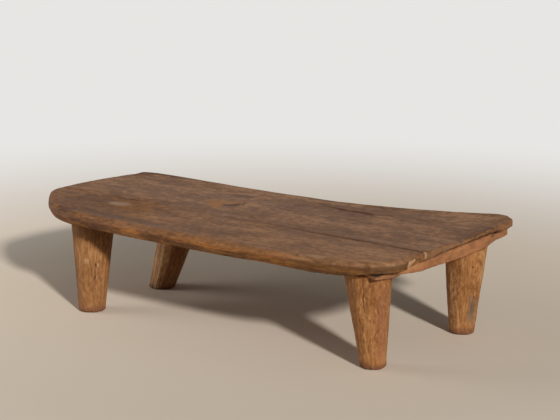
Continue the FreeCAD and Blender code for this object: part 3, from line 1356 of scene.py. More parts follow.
@dataclass
class RearBoard(Board):
    """The back board, with a lifted sliver along its far edge and a painted highlight on its corner at the
    joint.
    """

    back: Rise = Rise(0.10, 0.14)
    rim_reach: Rise = Rise(0.013, 0.026)
    rim_start: Rise = Rise(-0.537, -0.533)
    rim_end: Rise = Rise(-0.533, -0.12)
    rim_height: float = 0.0035
    rim_least: float = -0.4
    far_start: Rise = Rise(-0.40, -0.25)
    far_rise: float = 0.0018
    far_grime: Rise = Rise(0.010, 0.026)
    far_dirt: Pair = (0.09, 0.75)

    corner_offset: float = 0.003
    corner_reach: Rise = Rise(0.0025, 0.0042)
    corner_end: Rise = Rise(0.536, 0.541)
    corner_painted_highlight: float = 0.9
    far_corner: tuple[Rise, Rise] = (Rise(0.52, 0.57), Rise(0.15, 0.24))
    far_corner_swell: float = 0.0025

    sweep_from: float = -0.08
    sweep_run: float = 0.28
    sweep_rise: float = 0.0118
    end_line: float = 0.524
    end_slant: float = 0.105
    end_low: Rise = Rise(0.2385, 0.2485)
    end_lift: Hump = Hump(0.130, 0.07, 0.0055)
    end_hang: Rise = Rise(-0.08, 0.03)
    end_hang_depth: float = 0.006
    end_depth: Rise = Rise(0.0, 0.012)
    arris_lift: Hump = Hump(0.135, 0.038, 0.003)
    arris_depth: Rise = Rise(-0.03, 0.012)

    def _details(self, work: Carving, edge_gap: np.ndarray) -> None:
        """Lift the far edge, paint a highlight on the corner at the open joint and draw the far corner out.

        Args:
            work: The board.
            edge_gap: How far each point lies from the edge.
        """
        self._far_edge(work, edge_gap)
        x, y, _ = work.places.T
        # Painted highlight: pale raw colour on the lit corner of the board at the open joint, in place of
        # dirt and end grain.
        offset = np.abs(self._joint_offset(work.places) - self.corner_offset)
        corner = self.corner_reach.down(offset) * self.corner_end.up(x)
        work.clear(Mark.DIRT, corner)
        work.clear(Mark.END, corner)
        work.mark(Mark.RAW, corner * self.corner_painted_highlight)
        swell = self.far_corner[0].up(x) * self.far_corner[1].up(y) * self.far_corner_swell
        work.places[:, :2] += swell[:, None]
        self._end_line(work)

    def _far_edge(self, work: Carving, edge_gap: np.ndarray) -> None:
        """Lift the sliver along the far edge, and darken it.

        Args:
            work: The board.
            edge_gap: How far each point lies from the edge.
        """
        x, y, _ = work.places.T
        back = self.back.up(y)
        along = self.rim_start.up(x) * self.rim_end.down(x)
        lift = along * self.rim_height + self.far_start.up(x) * self.far_rise
        up = work.facing(2, 1.0, self.rim_least)
        work.places[:, 2] += back * self.rim_reach.down(edge_gap) * up * lift
        work.mark(Mark.DIRT, back * self.far_grime.down(edge_gap) * between(*self.far_dirt, along))

    def _end_line(self, work: Carving) -> None:
        """Let the lower edge of the square end hang at the joint, and rise towards the far corner.

        Args:
            work: The board.
        """
        x, y, z = work.places.T.copy()
        run = y - self.sweep_from
        out = x - self.end_line - self.end_slant * run
        sweep = self.sweep_rise * np.clip(run / self.sweep_run, 0.0, 1.0) ** 3
        low = self.end_low.down(z - sweep)
        line = self.end_lift.at(y) - self.end_hang_depth * self.end_hang.down(y)
        work.places[:, 2] += self.end_depth.up(out) * low * line
        work.places[:, 2] += self.arris_depth.up(out) * (1.0 - low) * self.arris_lift.at(y)


@dataclass(frozen=True)
class BattenLine:
    """The line that a batten follows under the boards, and its lower profile."""

    front: Spot
    back: Spot
    front_reach: float
    back_tip: float
    front_tip: float = 0.011
    belly: float = 0.027
    rise_run: float = 0.125
    flat_run: float = 0.013
    back_reach: float = 0.093
    under: float = 0.227
    far_lift: float = 0.0
    lift_rise: Rise = Rise(0.24, 0.41)

    @property
    def spacing(self) -> float:
        """Return the distance between the two legs."""
        return math.dist(self.front, self.back)

    @property
    def along(self) -> Spot:
        """Return the direction of the line."""
        return tuple((b - a) / self.spacing for a, b in zip(self.front, self.back))

    @property
    def across(self) -> Spot:
        """Return the direction square to the line, outwards at the square end."""
        return self.along[1], -self.along[0]

    def local(self, places: np.ndarray) -> np.ndarray:
        """Return points given along, across and up the batten."""
        flat = places[:, :2] - np.array(self.front)
        return np.column_stack([flat @ np.array(self.along), flat @ np.array(self.across), places[:, 2]])


@dataclass
class Batten:
    """One cross batten, its arrises rubbed and its face smoothed by hand.

    A batten with a gap at its tip has a ragged tongue there, and its upper face fits the front board.
    """

    node: str
    name: str
    seed: int
    line: BattenLine
    knot: Optional[Spot] = None
    tip_gap: float = 0.0
    voxel: float = 0.0026
    lumps: tuple[Lumps, ...] = (
        Lumps(0, (9.0, 9.0, 12.0), 0.7 * MM),
        Lumps(1, (30.0, 30.0, 45.0), 0.35 * MM),
    )
    outside: float = 0.043
    under_facing: float = -0.5

    wear: Lumps = Lumps(2, (8.0, 8.0, 20.0))
    wear_depth: float = 0.3
    belly_grime: Rise = Rise(-0.206, -0.2)
    belly_dirt: float = 0.25
    knot_hump: Hump = Hump(0.0, 0.006, 0.9)
    knot_squash: float = 1.4
    knot_side: float = 0.03

    lower: Rise = Rise(0.206, 0.222)
    belly_ease: Hump = Hump(0.09, 0.065, 0.0034)
    far_start: float = 0.04
    far_reach: float = 0.008
    far_settle: float = 0.0045
    settle_rise: Rise = Rise(0.40, 0.437)
    lift_depth: Rise = Rise(0.003, 0.015)
    fit_end: float = -0.081
    fit_side: float = 0.01
    fit_height: Rise = Rise(0.222, 0.227)

    tip_run: Rise = Rise(0.010, 0.070)
    tip_side: Rise = Rise(0.030, 0.041)
    tip_front: Rise = Rise(-0.035, 0.0)
    tip_upper: Rise = Rise(0.220, 0.225)
    tip_lumps: Lumps = Lumps(3, (70.0, 70.0, 90.0), 2.0 * MM)
    tip_reach: float = 0.004
    tip_flare: float = 0.017
    tip_drop: float = 0.003
    tip_gap_painted_shade: float = 0.9
    tip_dirt: float = 0.35

    def build(self) -> bpy.types.Object:
        """Shape the batten.

        Returns:
            The batten as a piece.
        """
        piece = working_copy(self.node, self.name, self.voxel)
        work = Carving(piece.data, self.seed)
        local = self.line.local(work.places)
        outside = np.abs(local[:, 1]) > self.outside
        under = work.normals[:, 2] < self.under_facing
        uneven = sum(lumps.at(work) for lumps in self.lumps)
        work.push(np.where(outside | under, uneven, 0.0))
        self._shape(work, local)
        if self.tip_gap:
            self._fit_end(work, local)
            self._open_tip(work, local)
        work.mark(Mark.WEAR, outside * self.wear_depth * (1.0 + self.wear.at(work)))
        work.mark(Mark.DIRT, self.belly_grime.up(-local[:, 2]) * self.belly_dirt * under)
        if self.knot:
            off = np.hypot(local[:, 0] - self.knot[0], self.knot_squash * (local[:, 2] - self.knot[1]))
            work.mark(Mark.DIRT, self.knot_hump.at(off) * (local[:, 1] > self.knot_side))
        work.write(local + np.array([self.seed, 0.0, 0.0]))
        return piece

    def _shape(self, work: Carving, local: np.ndarray) -> None:
        """Ease the lower line and let the far tip run out.

        Args:
            work: The batten.
            local: Its points along, across and up the batten.
        """
        line = self.line
        along, _, height = local.T
        work.places[:, 2] -= self.lower.down(height) * self.belly_ease.at(along)
        far = smooth_step(along, line.spacing + self.far_start, line.spacing + line.back_reach)
        work.places[:, :2] += np.array(line.along) * (far * self.far_reach)[:, None]
        run = np.clip((along - line.spacing - line.flat_run) / (line.back_reach - line.flat_run), 0.0, 1.0)
        foot = line.under - line.belly + (line.belly - line.back_tip) * run
        lift = line.far_lift * line.lift_rise.up(along)
        lift -= self.far_settle * (line.far_lift > 0.0) * self.settle_rise.up(along)
        work.places[:, 2] += lift * self.lift_depth.down(height - foot)

    def _fit_end(self, work: Carving, local: np.ndarray) -> None:
        """Raise the upper face to the front board's end.

        Args:
            work: The batten.
            local: Its points along, across and up the batten.
        """
        _, across, height = local.T
        y = work.places[:, 1]
        under = END_CLIMB.up(y) * (y < self.fit_end) * (across > self.fit_side)
        work.places[:, 2] += under * self.fit_height.up(height) * END_RISE

    def _open_tip(self, work: Carving, local: np.ndarray) -> None:
        """Leave a ragged tongue at the outer front tip, with a gap between it and the board that painted
        shade darkens.

        Args:
            work: The batten.
            local: Its points along, across and up the batten.
        """
        along, across, height = local.T
        tip = self.tip_run.down(along) * self.tip_side.up(across)
        front = self.tip_front.down(along)
        upper = self.tip_upper.up(height)
        ragged = self.tip_lumps.at(work)
        forward = np.array(self.line.along) * (tip * self.tip_reach + front * tip * ragged)[:, None]
        outward = np.array(self.line.across) * (tip * self.tip_flare)[:, None]
        work.places[:, :2] += outward - forward
        work.places[:, 2] -= tip * (front * upper * self.tip_gap + (1.0 - upper) * self.tip_drop)
        # Painted shade: the upper face of the tongue darkens in the gap under the board.
        work.mark(Mark.DIRT, tip * front * upper * self.tip_gap_painted_shade)
        work.mark(Mark.DIRT, tip * self.tip_dirt)


@dataclass(frozen=True)
class Split:
    """A split or a knot in a leg: where it runs on the round and how it opens."""

    turn: float
    low: float
    high: float
    width: float
    depth: float
    raw: float = 0.0


@dataclass(frozen=True)
class Stain:
    """A soft mark on the round of a leg: where it lies, how far it reaches and what it is."""

    turn: float
    height: float
    half_turn: float
    half_height: float
    kind: Mark
    strength: float


class ShapeTree:
    """A rule in nodes that makes a mesh from named sizes and a material."""

    name = "shape"
    sizes: dict[str, float] = {}

    def __init__(self) -> None:
        """Name the inputs and the output of the tree, and lay its nodes."""
        self.tree = bpy.data.node_groups.new(self.name, "GeometryNodeTree")
        self.sheet = NodeSheet(self.tree)
        self.inputs: dict[str, str] = {}
        self._declare("Geometry", "NodeSocketGeometry")
        self._declare("Material", "NodeSocketMaterial")
        for key, size in self.sizes.items():
            self._declare(key, "NodeSocketFloat").default_value = size
        self.tree.interface.new_socket("Geometry", in_out="OUTPUT", socket_type="NodeSocketGeometry")
        entry = self.sheet.node("NodeGroupInput")
        self.given = {key: Signal(self.sheet, entry.outputs[key]) for key in self.inputs}
        real = self.sheet.node("GeometryNodeRealizeInstances", None, {0: self._lay()})
        feeds = {"Geometry": real.outputs[0], "Material": self.given["Material"]}
        done = self.sheet.node("GeometryNodeSetMaterial", None, feeds)
        self.sheet.node("NodeGroupOutput", None, {0: done.outputs[0]})

    def _declare(self, key: str, kind: str) -> bpy.types.NodeTreeInterfaceSocket:
        """Add an input and keep its identifier.

        Args:
            key: The name of the input.
            kind: The type name of its socket.

        Returns:
            The new input.
        """
        socket = self.tree.interface.new_socket(key, in_out="INPUT", socket_type=kind)
        self.inputs[key] = socket.identifier
        return socket

    def _lay(self) -> bpy.types.NodeSocket:
        """Return the shape, which each rule lays in its own way."""
        raise NotImplementedError

    def mesh(
        self, name: str, start: bpy.types.Mesh, sizes: dict[str, float], material: bpy.types.Material
    ) -> bpy.types.Mesh:
        """Make one mesh by the rule.

        Args:
            name: The name of the mesh.
            start: The mesh that the rule starts from.
            sizes: The inputs that differ from the rule's own sizes.
            material: The finish.

        Returns:
            A plain mesh.
        """
        stand = add_piece(name + "_stand", start)
        nodes = stand.modifiers.new(self.name, "NODES")
        nodes.node_group = self.tree
        for key, value in {**sizes, "Material": material}.items():
            nodes[self.inputs[key]] = value
        mesh = plain_mesh(stand)
        bpy.data.objects.remove(stand)
        mesh.name = name
        return mesh


class LegTree(ShapeTree):
    """The rule that all legs share: a leaning, tapered, hand-faceted round with a tenon."""

    name = "hand_cut_leg"
    sizes: dict[str, float] = {
        "Foot Radius": 0.03, "Top Radius": 0.052, "Taper Height": 0.205, "Tenon Radius": 0.022,
        "Foot X": 0.0, "Foot Y": 0.0, "Top X": 0.0, "Top Y": 0.0, "Foot Round": 0.004,
        "Facets": 9.0, "Facet Depth": 0.6, "Facet Turn": 0.0,
        "Seed": 0.0, "Lump": 0.0016, "Chop": 0.0008,
        "Batten X": 0.0, "Batten Y": 0.0, "Along X": 0.0, "Along Y": 1.0, "Spacing": 0.3,
        "Front Reach": 0.03, "Front Tip": BattenLine.front_tip, "Rise Run": BattenLine.rise_run,
        "Flat Run": BattenLine.flat_run, "Back Reach": BattenLine.back_reach, "Back Tip": 0.011,
        "Belly": BattenLine.belly, "Under Height": BattenLine.under, "Far Lift": BattenLine.far_lift,
    }
    around = 240
    rings = 150
    end_rings = 10
    tenon_sides = 32
    tenon_clear = 0.0003
    # The waves round the leg, the twist and the swing of each sway of the flats.
    sways: tuple[Place, ...] = ((2.0, 1.0, 0.30), (3.0, 2.3, 0.17))
    drift_count = 9.0
    drift_layers: Pair = (1.0, 0.55)
    drift_share = 0.5
    flat_swell = 0.025
    # The lumps to the metre across the grain and along it.
    lump_count: Pair = (16.0, 13.0)
    chop_count: Pair = (95.0, 16.0)
    nick_count: Pair = (55.0, 50.0)
    soft_layers: Pair = (2.0, 0.55)
    nick_layers: Pair = (3.0, 0.55)
    nick_reach = 0.016
    nick_height = 0.013

    @staticmethod
    def _rise(value: Value, low: Value, high: Value) -> Signal:
        """Return a straight rise from zero to one between two values."""
        return ((value - low) / (high - low)).limited()

    def _top_height(self, turn_x: Signal, turn_y: Signal) -> Signal:
        """Find the height at which the batten's lower face meets the leg.

        Args:
            turn_x: The direction round the leg, along the table.
            turn_y: The direction round the leg, to the back.

        Returns:
            The height on each side of the leg.
        """
        get = self.given
        x = get["Top X"] + get["Top Radius"] * turn_x - get["Batten X"]
        y = get["Top Y"] + get["Top Radius"] * turn_y - get["Batten Y"]
        along = x * get["Along X"] + y * get["Along Y"]
        front = self._rise(along, 0.0 - get["Front Reach"], get["Rise Run"])
        back = self._rise(along, get["Spacing"] + get["Flat Run"], get["Spacing"] + get["Back Reach"])
        depth = get["Front Tip"] + (get["Belly"] - get["Front Tip"]) * front
        depth = depth - (get["Belly"] - get["Back Tip"]) * back
        rise = BattenLine.lift_rise
        return get["Under Height"] - depth + get["Far Lift"] * self.sheet.ease(along, rise.start, rise.full)

    def _facet(self, turn: Signal, height: Signal) -> Signal:
        """Cut the flats, which sway and drift as a hand does.

        Args:
            turn: The angle round the leg.
            height: The height up the leg.

        Returns:
            The share of the radius that the flats leave.
        """
        sheet, get = self.sheet, self.given
        facets, start, depth = get["Facets"], get["Facet Turn"], get["Facet Depth"]
        sway = sum(
            sheet.math("SINE", turn * waves + start * twist) * swing for waves, twist, swing in self.sways)
        drift = sheet.noise(sheet.joined(get["Seed"], height * self.drift_count, 0.0), self.drift_layers)
        sector = (turn + sway + (drift - HALF) * self.drift_share + start) * facets / math.tau
        middle = (sheet.math("FRACT", sector) - HALF) * math.tau / facets
        flat = sheet.math("COSINE", math.pi / facets) / sheet.math("COSINE", middle)
        return 1.0 + (flat - 1.0) * depth + depth * self.flat_swell

    def _radius(self, turn: Signal, height: Signal) -> Signal:
        """Taper the leg, round its foot and cut its flats.

        Args:
            turn: The angle round the leg.
            height: The height up the leg.

        Returns:
            The radius of the plain leg.
        """
        get = self.given
        grow = (get["Top Radius"] - get["Foot Radius"]) / get["Taper Height"]
        foot = (1.0 - height / get["Foot Round"]).limited()
        radius = get["Foot Radius"] + grow * height
        radius = radius - get["Foot Round"] * (1.0 - (1.0 - foot * foot) ** 0.5)
        return radius * self._facet(turn, height)

    def _tool_marks(self, radius: Signal, turn_x: Signal, turn_y: Signal, height: Signal) -> Signal:
        """Add lumps and chops all over the leg, and nicks at its foot.

        Args:
            radius: The radius of the plain leg.
            turn_x: The direction round the leg, along the table.
            turn_y: The direction round the leg, to the back.
            height: The height up the leg.

        Returns:
            The radius with the marks.
        """
        sheet, get = self.sheet, self.given
        seed = get["Seed"]
        x, y = turn_x * radius, turn_y * radius
        across, up = self.lump_count
        lump = sheet.noise(sheet.joined(x * across + seed, y * across, height * up), self.soft_layers)
        across, up = self.chop_count
        chop = sheet.noise(sheet.joined(x * across, y * across + seed, height * up), self.soft_layers)
        across, up = self.nick_count
        nick = sheet.noise(sheet.joined(x * across, y * across + seed, height * up), self.nick_layers)
        low = (1.0 - height / self.nick_reach).limited()
        radius = radius + (lump - HALF) * 2.0 * get["Lump"] + (chop - HALF) * 2.0 * get["Chop"]
        return radius + (nick - HALF) * low * self.nick_height

    def _lay(self) -> bpy.types.NodeSocket:
        """Lay the nodes from the plain round to the finished leg.

        Returns:
            The leg with its tenon.
        """
        sheet, get = self.sheet, self.given
        sizes = {"Vertices": self.around, "Side Segments": self.rings, "Fill Segments": self.end_rings}
        sizes.update({"Radius": 1.0, "Depth": 1.0})
        blank = sheet.node("GeometryNodeMeshCylinder", {"fill_type": "TRIANGLE_FAN"}, sizes)
        x, y, z = sheet.split(sheet.node("GeometryNodeInputPosition").outputs[0])
        reach = (x * x + y * y) ** 0.5
        turn = sheet.math("ARCTAN2", y, x)
        turn_x, turn_y = sheet.math("COSINE", turn), sheet.math("SINE", turn)
        height = (z + HALF) * self._top_height(turn_x, turn_y)
        radius = self._tool_marks(self._radius(turn, height), turn_x, turn_y, height)
        local_x, local_y = turn_x * radius * reach, turn_y * radius * reach
        lean = height / get["Under Height"]
        place = sheet.joined(
            local_x + get["Foot X"] + (get["Top X"] - get["Foot X"]) * lean,
            local_y + get["Foot Y"] + (get["Top Y"] - get["Foot Y"]) * lean,
            height,
        )
        settings = {"data_type": "FLOAT_VECTOR", "domain": "POINT"}
        grain = sheet.joined(height, local_x, local_y)
        feeds = {"Geometry": blank.outputs["Mesh"], "Name": GRAIN, "Value": grain}
        stored = sheet.node("GeometryNodeStoreNamedAttribute", settings, feeds)
        body = sheet.node("GeometryNodeSetPosition", None, {"Geometry": stored.outputs[0], "Position": place})
        joined = sheet.node("GeometryNodeJoinGeometry")
        for part in (self._tenon(), body.outputs[0]):
            self.tree.links.new(part, joined.inputs[0])
        return joined.outputs[0]

    def _tenon(self) -> bpy.types.NodeSocket:
        """Make the round tenon that goes up through the batten.

        Returns:
            The tenon.
        """
        sheet, get = self.sheet, self.given
        sizes = {"Vertices": self.tenon_sides, "Radius": get["Tenon Radius"], "Depth": get["Belly"]}
        post = sheet.node("GeometryNodeMeshCylinder", {"fill_type": "NGON"}, sizes)
        middle = get["Under Height"] - get["Belly"] * HALF - self.tenon_clear
        move = sheet.joined(get["Top X"], get["Top Y"], middle)
        feeds = {"Geometry": post.outputs["Mesh"], "Translation": move}
        return sheet.node("GeometryNodeTransform", None, feeds).outputs[0]


@dataclass
class Leg:
    """One tapered leg, cut by hand, with splits and a worn foot.

    Its axis joins its ends, at the floor and at the boards, and its shifts move them rightward.
    """

    corner: Corner
    seed: int
    line: BattenLine
    ends: tuple[Spot, Spot]
    foot_radius: float
    top_radius: float
    facet_turn: float
    facet_depth: float
    shifts: Pair = (0.0, 0.0)
    splits: tuple[Split, ...] = ()
    stains: tuple[Stain, ...] = ()

    grain_steps: Pair = (0.7, 0.3)
    foot_lumps: Lumps = Lumps(5, (50.0, 50.0, 30.0))
    foot_sway: float = 0.006
    foot_wear: Rise = Rise(0.004, 0.028)
    foot_grime: Rise = Rise(0.005, 0.018)
    foot_dirt: float = 0.45
    rim_sway: float = 0.003
    rim_grime: Rise = Rise(0.001, 0.007)
    rim_dirt: float = 0.7

    stain_lumps: Lumps = Lumps(4, (55.0, 55.0, 40.0), 0.35)
    stain_edge: float = 1.6

    wander_step: int = 3
    wander_count: float = 55.0
    wander_turn: float = 0.05
    split_soft: float = 0.012
    split_soft_share: float = 0.4
    split_core: float = 0.02
    split_dirt: float = 0.9
    split_dirt_share: float = 1.1
    split_raw_shares: Pair = (2.6, 1.6)

    @property
    def node(self) -> str:
        """Return the name of the frame's leg."""
        return "leg_" + self.corner.value

    @property
    def name(self) -> str:
        """Return the name of the dressed leg."""
        return self.corner.value + "_leg"

    def sizes(self) -> dict[str, float]:
        """Gather the inputs of the leg's rule.

        Returns:
            The inputs that differ from the rule's own sizes, by name.
        """
        line = self.line
        foot, top = (
            [place + shift * right for place, right in zip(end, RIGHTWARD)]
            for end, shift in zip(self.ends, self.shifts))
        return {
            "Foot Radius": self.foot_radius, "Top Radius": self.top_radius, "Seed": float(self.seed),
            "Foot X": foot[0], "Foot Y": foot[1], "Top X": top[0], "Top Y": top[1],
            "Facet Turn": self.facet_turn, "Facet Depth": self.facet_depth,
            "Batten X": line.front[0], "Batten Y": line.front[1],
            "Along X": line.along[0], "Along Y": line.along[1], "Spacing": line.spacing,
            "Front Reach": line.front_reach, "Back Tip": line.back_tip, "Far Lift": line.far_lift,
        }

    def build(self, tree: LegTree, finish: bpy.types.Material) -> bpy.types.Object:
        """Shape the leg.

        Args:
            tree: The rule that makes it.
            finish: Its material.

        Returns:
            The leg as a piece.
        """
        start = bpy.data.meshes.new(self.name)
        piece = add_piece(self.name, tree.mesh(self.name, start, self.sizes(), finish))
        work = Carving(piece.data, self.seed)
        grain = self._grain(piece.data)
        for split in self.splits:
            self._open(work, grain, split)
        for stain in self.stains:
            self._stain(work, grain, stain)
        self._wear_foot(work, grain[:, 0])
        work.write(grain + np.array([*(self.seed * step for step in self.grain_steps), 0.0]))
        return piece

    @staticmethod
    def _grain(mesh: bpy.types.Mesh) -> np.ndarray:
        """Read the stored places along, and across, the grain.

        Args:
            mesh: The mesh of the leg.

        Returns:
            The height of each point, and its place across the leg.
        """
        flat = np.empty(len(mesh.vertices) * 3, np.float32)
        mesh.attributes[GRAIN].data.foreach_get("vector", flat)
        return flat.reshape(-1, 3).astype(float)

    def _wear_foot(self, work: Carving, height: np.ndarray) -> None:
        """Rub the foot, and let dirt gather at its rim.

        Args:
            work: The leg.
            height: The height of each point.
        """
        uneven = self.foot_lumps.at(work)
        ragged = height + self.foot_sway * uneven
        work.mark(Mark.WEAR, self.foot_wear.down(ragged))
        work.mark(Mark.DIRT, self.foot_dirt * self.foot_grime.down(ragged))
        work.mark(Mark.DIRT, self.rim_dirt * self.rim_grime.down(height + self.rim_sway * uneven))

    def _stain(self, work: Carving, grain: np.ndarray, stain: Stain) -> None:
        """Lay one soft mark on the leg.

        Args:
            work: The leg.
            grain: The height of each point, and its place across the leg.
            stain: The mark.
        """
        height, x, y = grain.T
        off = np.degrees(np.arctan2(y, x)) - stain.turn
        off = (off + HALF_TURN) % (2.0 * HALF_TURN) - HALF_TURN
        edge = self.stain_edge + self.stain_lumps.at(work)
        across = np.clip(edge - np.abs(off) / stain.half_turn, 0.0, 1.0)
        up = np.clip(edge - np.abs(height - stain.height) / stain.half_height, 0.0, 1.0)
        work.mark(stain.kind, across * up * stain.strength)

    def _open(self, work: Carving, grain: np.ndarray, split: Split) -> None:
        """Open one split in the leg and darken it.

        Args:
            work: The leg.
            grain: The height of each point, and its place across the leg.
            split: The split.
        """
        height, x, y = grain.T
        radius = np.hypot(x, y)
        level = np.zeros(len(height))
        line = np.column_stack([height * self.wander_count, level, level])
        wander = Roughcast(self.seed + self.wander_step).at(line)
        off = np.arctan2(y, x) - (math.radians(split.turn) + self.wander_turn * wander)
        gap = ((off + math.pi) % math.tau - math.pi) * radius
        soft = min(self.split_soft, self.split_soft_share * (split.high - split.low))
        fade = smooth_step(height, split.low - soft, split.low + soft)
        fade = fade * (1.0 - smooth_step(height, split.high - soft, split.high + soft))
        shut = Hump(0.0, split.width).at(gap) * fade * (radius > self.split_core)
        inward = np.column_stack([-x, -y]) / np.maximum(radius, MM * MM)[:, None]
        work.places[:, :2] += inward * (shut * split.depth)[:, None]
        dirt = Hump(0.0, split.width * self.split_dirt_share, self.split_dirt)
        work.mark(Mark.DIRT, dirt.at(gap) * fade)
        beside = Hump(*(share * split.width for share in self.split_raw_shares), split.raw)
        work.mark(Mark.RAW, beside.at(gap) * fade)


class PegTree(ShapeTree):
    """The rule for the whittled peg ends under a batten: one peg, turned at random, at each point."""

    name = "whittled_pegs"
    sizes: dict[str, float] = {"Radius": 0.007, "Length": 0.040}
    sides = 14
    rings = 8
    end_rings = 3
    tip_from_share = 0.38
    tip_run_share = 0.12
    tip_narrow_share = 0.12
    tip_dome = 0.0016
    turn_seed = 4

    def _lay(self) -> bpy.types.NodeSocket:
        """Lay the nodes that set a peg at each point.

        Returns:
            The pegs.
        """
        sheet = self.sheet
        feeds = {"Max": math.tau, "Seed": self.turn_seed}
        turns = sheet.node("FunctionNodeRandomValue", {"data_type": "FLOAT"}, feeds)
        spin = sheet.joined(0.0, 0.0, Signal(sheet, turns.outputs[1]))
        feeds = {"Points": self.given["Geometry"], "Instance": self._peg(), "Rotation": spin}
        return sheet.node("GeometryNodeInstanceOnPoints", None, feeds).outputs[0]

    def _peg(self) -> bpy.types.NodeSocket:
        """Whittle one peg, narrowed and domed at its lower end.

        Returns:
            The peg.
        """
        sheet, radius, length = self.sheet, self.given["Radius"], self.given["Length"]
        sizes = {"Vertices": self.sides, "Side Segments": self.rings, "Fill Segments": self.end_rings}
        sizes.update({"Radius": radius, "Depth": length})
        post = sheet.node("GeometryNodeMeshCylinder", {"fill_type": "TRIANGLE_FAN"}, sizes)
        x, y, z = sheet.split(sheet.node("GeometryNodeInputPosition").outputs[0])
        tip = ((0.0 - z) / length - self.tip_from_share).limited() / self.tip_run_share
        narrow = 1.0 - tip * self.tip_narrow_share
        off = (x * x + y * y) / (radius * radius)
        dome = tip * (1.0 - off) * self.tip_dome
        place = sheet.joined(x * narrow, y * narrow, z + length * HALF - dome)
        feeds = {"Geometry": post.outputs[0], "Position": place}
        return sheet.node("GeometryNodeSetPosition", None, feeds).outputs[0]


@dataclass
class Pegs:
    """The pegs under one batten, at shares of the way from its front leg to its back leg."""

    side: str
    line: BattenLine
    shares: tuple[float, ...] = (0.22, 0.62, 0.75)

    @property
    def node(self) -> str:
        """Return the name of the frame's pegs."""
        return self.side + "_batten_pegs"

    @property
    def name(self) -> str:
        """Return the name of the dressed pegs."""
        return self.side + "_pegs"

    def build(self, tree: PegTree, finish: bpy.types.Material) -> bpy.types.Object:
        """Make the pegs as one piece.

        Args:
            tree: The rule that makes them.
            finish: Their material.

        Returns:
            The pegs.
        """
        line = self.line
        places = []
        for share in self.shares:
            flat = [a + (b - a) * share for a, b in zip(line.front, line.back)]
            places.append((*flat, line.under - line.belly))
        points = bpy.data.meshes.new(self.name + "_points")
        points.from_pydata(places, [], [])
        piece = add_piece(self.name, tree.mesh(self.name, points, {}, finish))
        work = Carving(piece.data)
        work.write(work.places[:, [2, 0, 1]])
        return piece


@dataclass
class Studio:
    """The pale floor, the soft light and the camera."""

    camera_place: Place = (2.2898, -2.9625, 1.0785)
    camera_pitch: float = 0.21583
    camera_yaw: float = 0.63765
    focal_pixels: float = 1600.0
    image_width: float = 560.0
    sensor: float = 36.0
    key_from: Place = (0.80, -0.44, 0.44)
    key_angle: float = 5.0
    key_power: float = 3.5
    fill_place: Place = (-2.6, -1.3, 0.8)
    fill_size: float = 1.6
    fill_power: float = 38.0
    sky_light: float = 0.15
    backdrop: Colour = (0.80, 0.79, 0.77)
    floor_colour: Colour = (0.68, 0.57, 0.45)
    floor_reach: float = 6.0
    floor_sides: int = 96
    floor_roughness: float = 0.9
    floor_fade: Pair = (0.7, 2.6)

    def build(self) -> None:
        """Set up the whole studio."""
        scene = bpy.context.scene
        scene.view_settings.view_transform = "Standard"
        self._camera(scene)
        self._lamps()
        self._world(scene)
        self._floor()

    def _camera(self, scene: bpy.types.Scene) -> None:
        """Place the camera where the picture was taken from.

        Args:
            scene: The scene that looks through it.
        """
        data = bpy.data.cameras.new("camera")
        data.sensor_width = self.sensor
        data.lens = self.focal_pixels / self.image_width * self.sensor
        camera = bpy.data.objects.new("camera", data)
        camera.location = self.camera_place
        camera.rotation_euler = (math.pi / 2 - self.camera_pitch, 0.0, self.camera_yaw)
        scene.collection.objects.link(camera)
        scene.camera = camera

    def _lamps(self) -> None:
        """Hang the key lamp on the right and the wide fill on the left."""
        key = bpy.data.lights.new("key", "SUN")
        key.angle = math.radians(self.key_angle)
        key.energy = self.key_power
        fill = bpy.data.lights.new("fill", "AREA")
        fill.size = self.fill_size
        fill.energy = self.fill_power
        for data, place in ((key, self.key_from), (fill, self.fill_place)):
            lamp = bpy.data.objects.new(data.name, data)
            lamp.location = place
            lamp.rotation_euler = (-Vector(place)).to_track_quat("-Z", "Y").to_euler()
            bpy.context.scene.collection.objects.link(lamp)

    @staticmethod
    def _seen(sheet: NodeSheet) -> Signal:
        """Tell the rays that look at a surface from those that light it.

        Args:
            sheet: The finish under construction.

        Returns:
            One for rays that look straight, in a gloss or through glass, and zero for others.
        """
        path = sheet.node("ShaderNodeLightPath")
        names = ("Is Camera Ray", "Is Glossy Ray", "Is Transmission Ray")
        camera, gloss, through = (Signal(sheet, path.outputs[name]) for name in names)
        return (camera + gloss + through).limited()

    def _world(self, scene: bpy.types.Scene) -> None:
        """Make an even pale surround.

        Args:
            scene: The scene that it lies round.
        """
        world = bpy.data.worlds.new("surround")
        world.use_nodes = True
        sheet = NodeSheet(world.node_tree)
        level = self._seen(sheet) * (1.0 - self.sky_light) + self.sky_light
        sky = sheet.node("ShaderNodeBackground", None, {"Color": (*self.backdrop, 1.0), "Strength": level})
        sheet.node("ShaderNodeOutputWorld", None, {"Surface": sky.outputs[0]})
        scene.world = world

    def _floor(self) -> None:
        """Lay the pale floor, which fades into the surround."""
        shape = bmesh.new()
        bmesh.ops.create_circle(shape, cap_ends=True, segments=self.floor_sides, radius=self.floor_reach)
        mesh = bpy.data.meshes.new("floor")
        shape.to_mesh(mesh)
        shape.free()
        floor = add_piece("floor", mesh)
        material, sheet = new_finish("pale_floor")
        place = sheet.node("ShaderNodeTexCoord").outputs["Object"]
        far = sheet.ease(sheet.vector("LENGTH", place, value_out=True), *self.floor_fade)
        feeds = {"Base Color": (*self.floor_colour, 1.0), "Roughness": self.floor_roughness}
        chalk = sheet.node("ShaderNodeBsdfPrincipled", None, feeds)
        glow = sheet.node("ShaderNodeEmission", None, {"Color": (*self.backdrop, 1.0), "Strength": 1.0})
        share = far * self._seen(sheet)
        mixed = sheet.node("ShaderNodeMixShader", None, {0: share, 1: chalk.outputs[0], 2: glow.outputs[0]})
        sheet.node("ShaderNodeOutputMaterial", None, {"Surface": mixed.outputs[0]})
        mesh.materials.append(material)


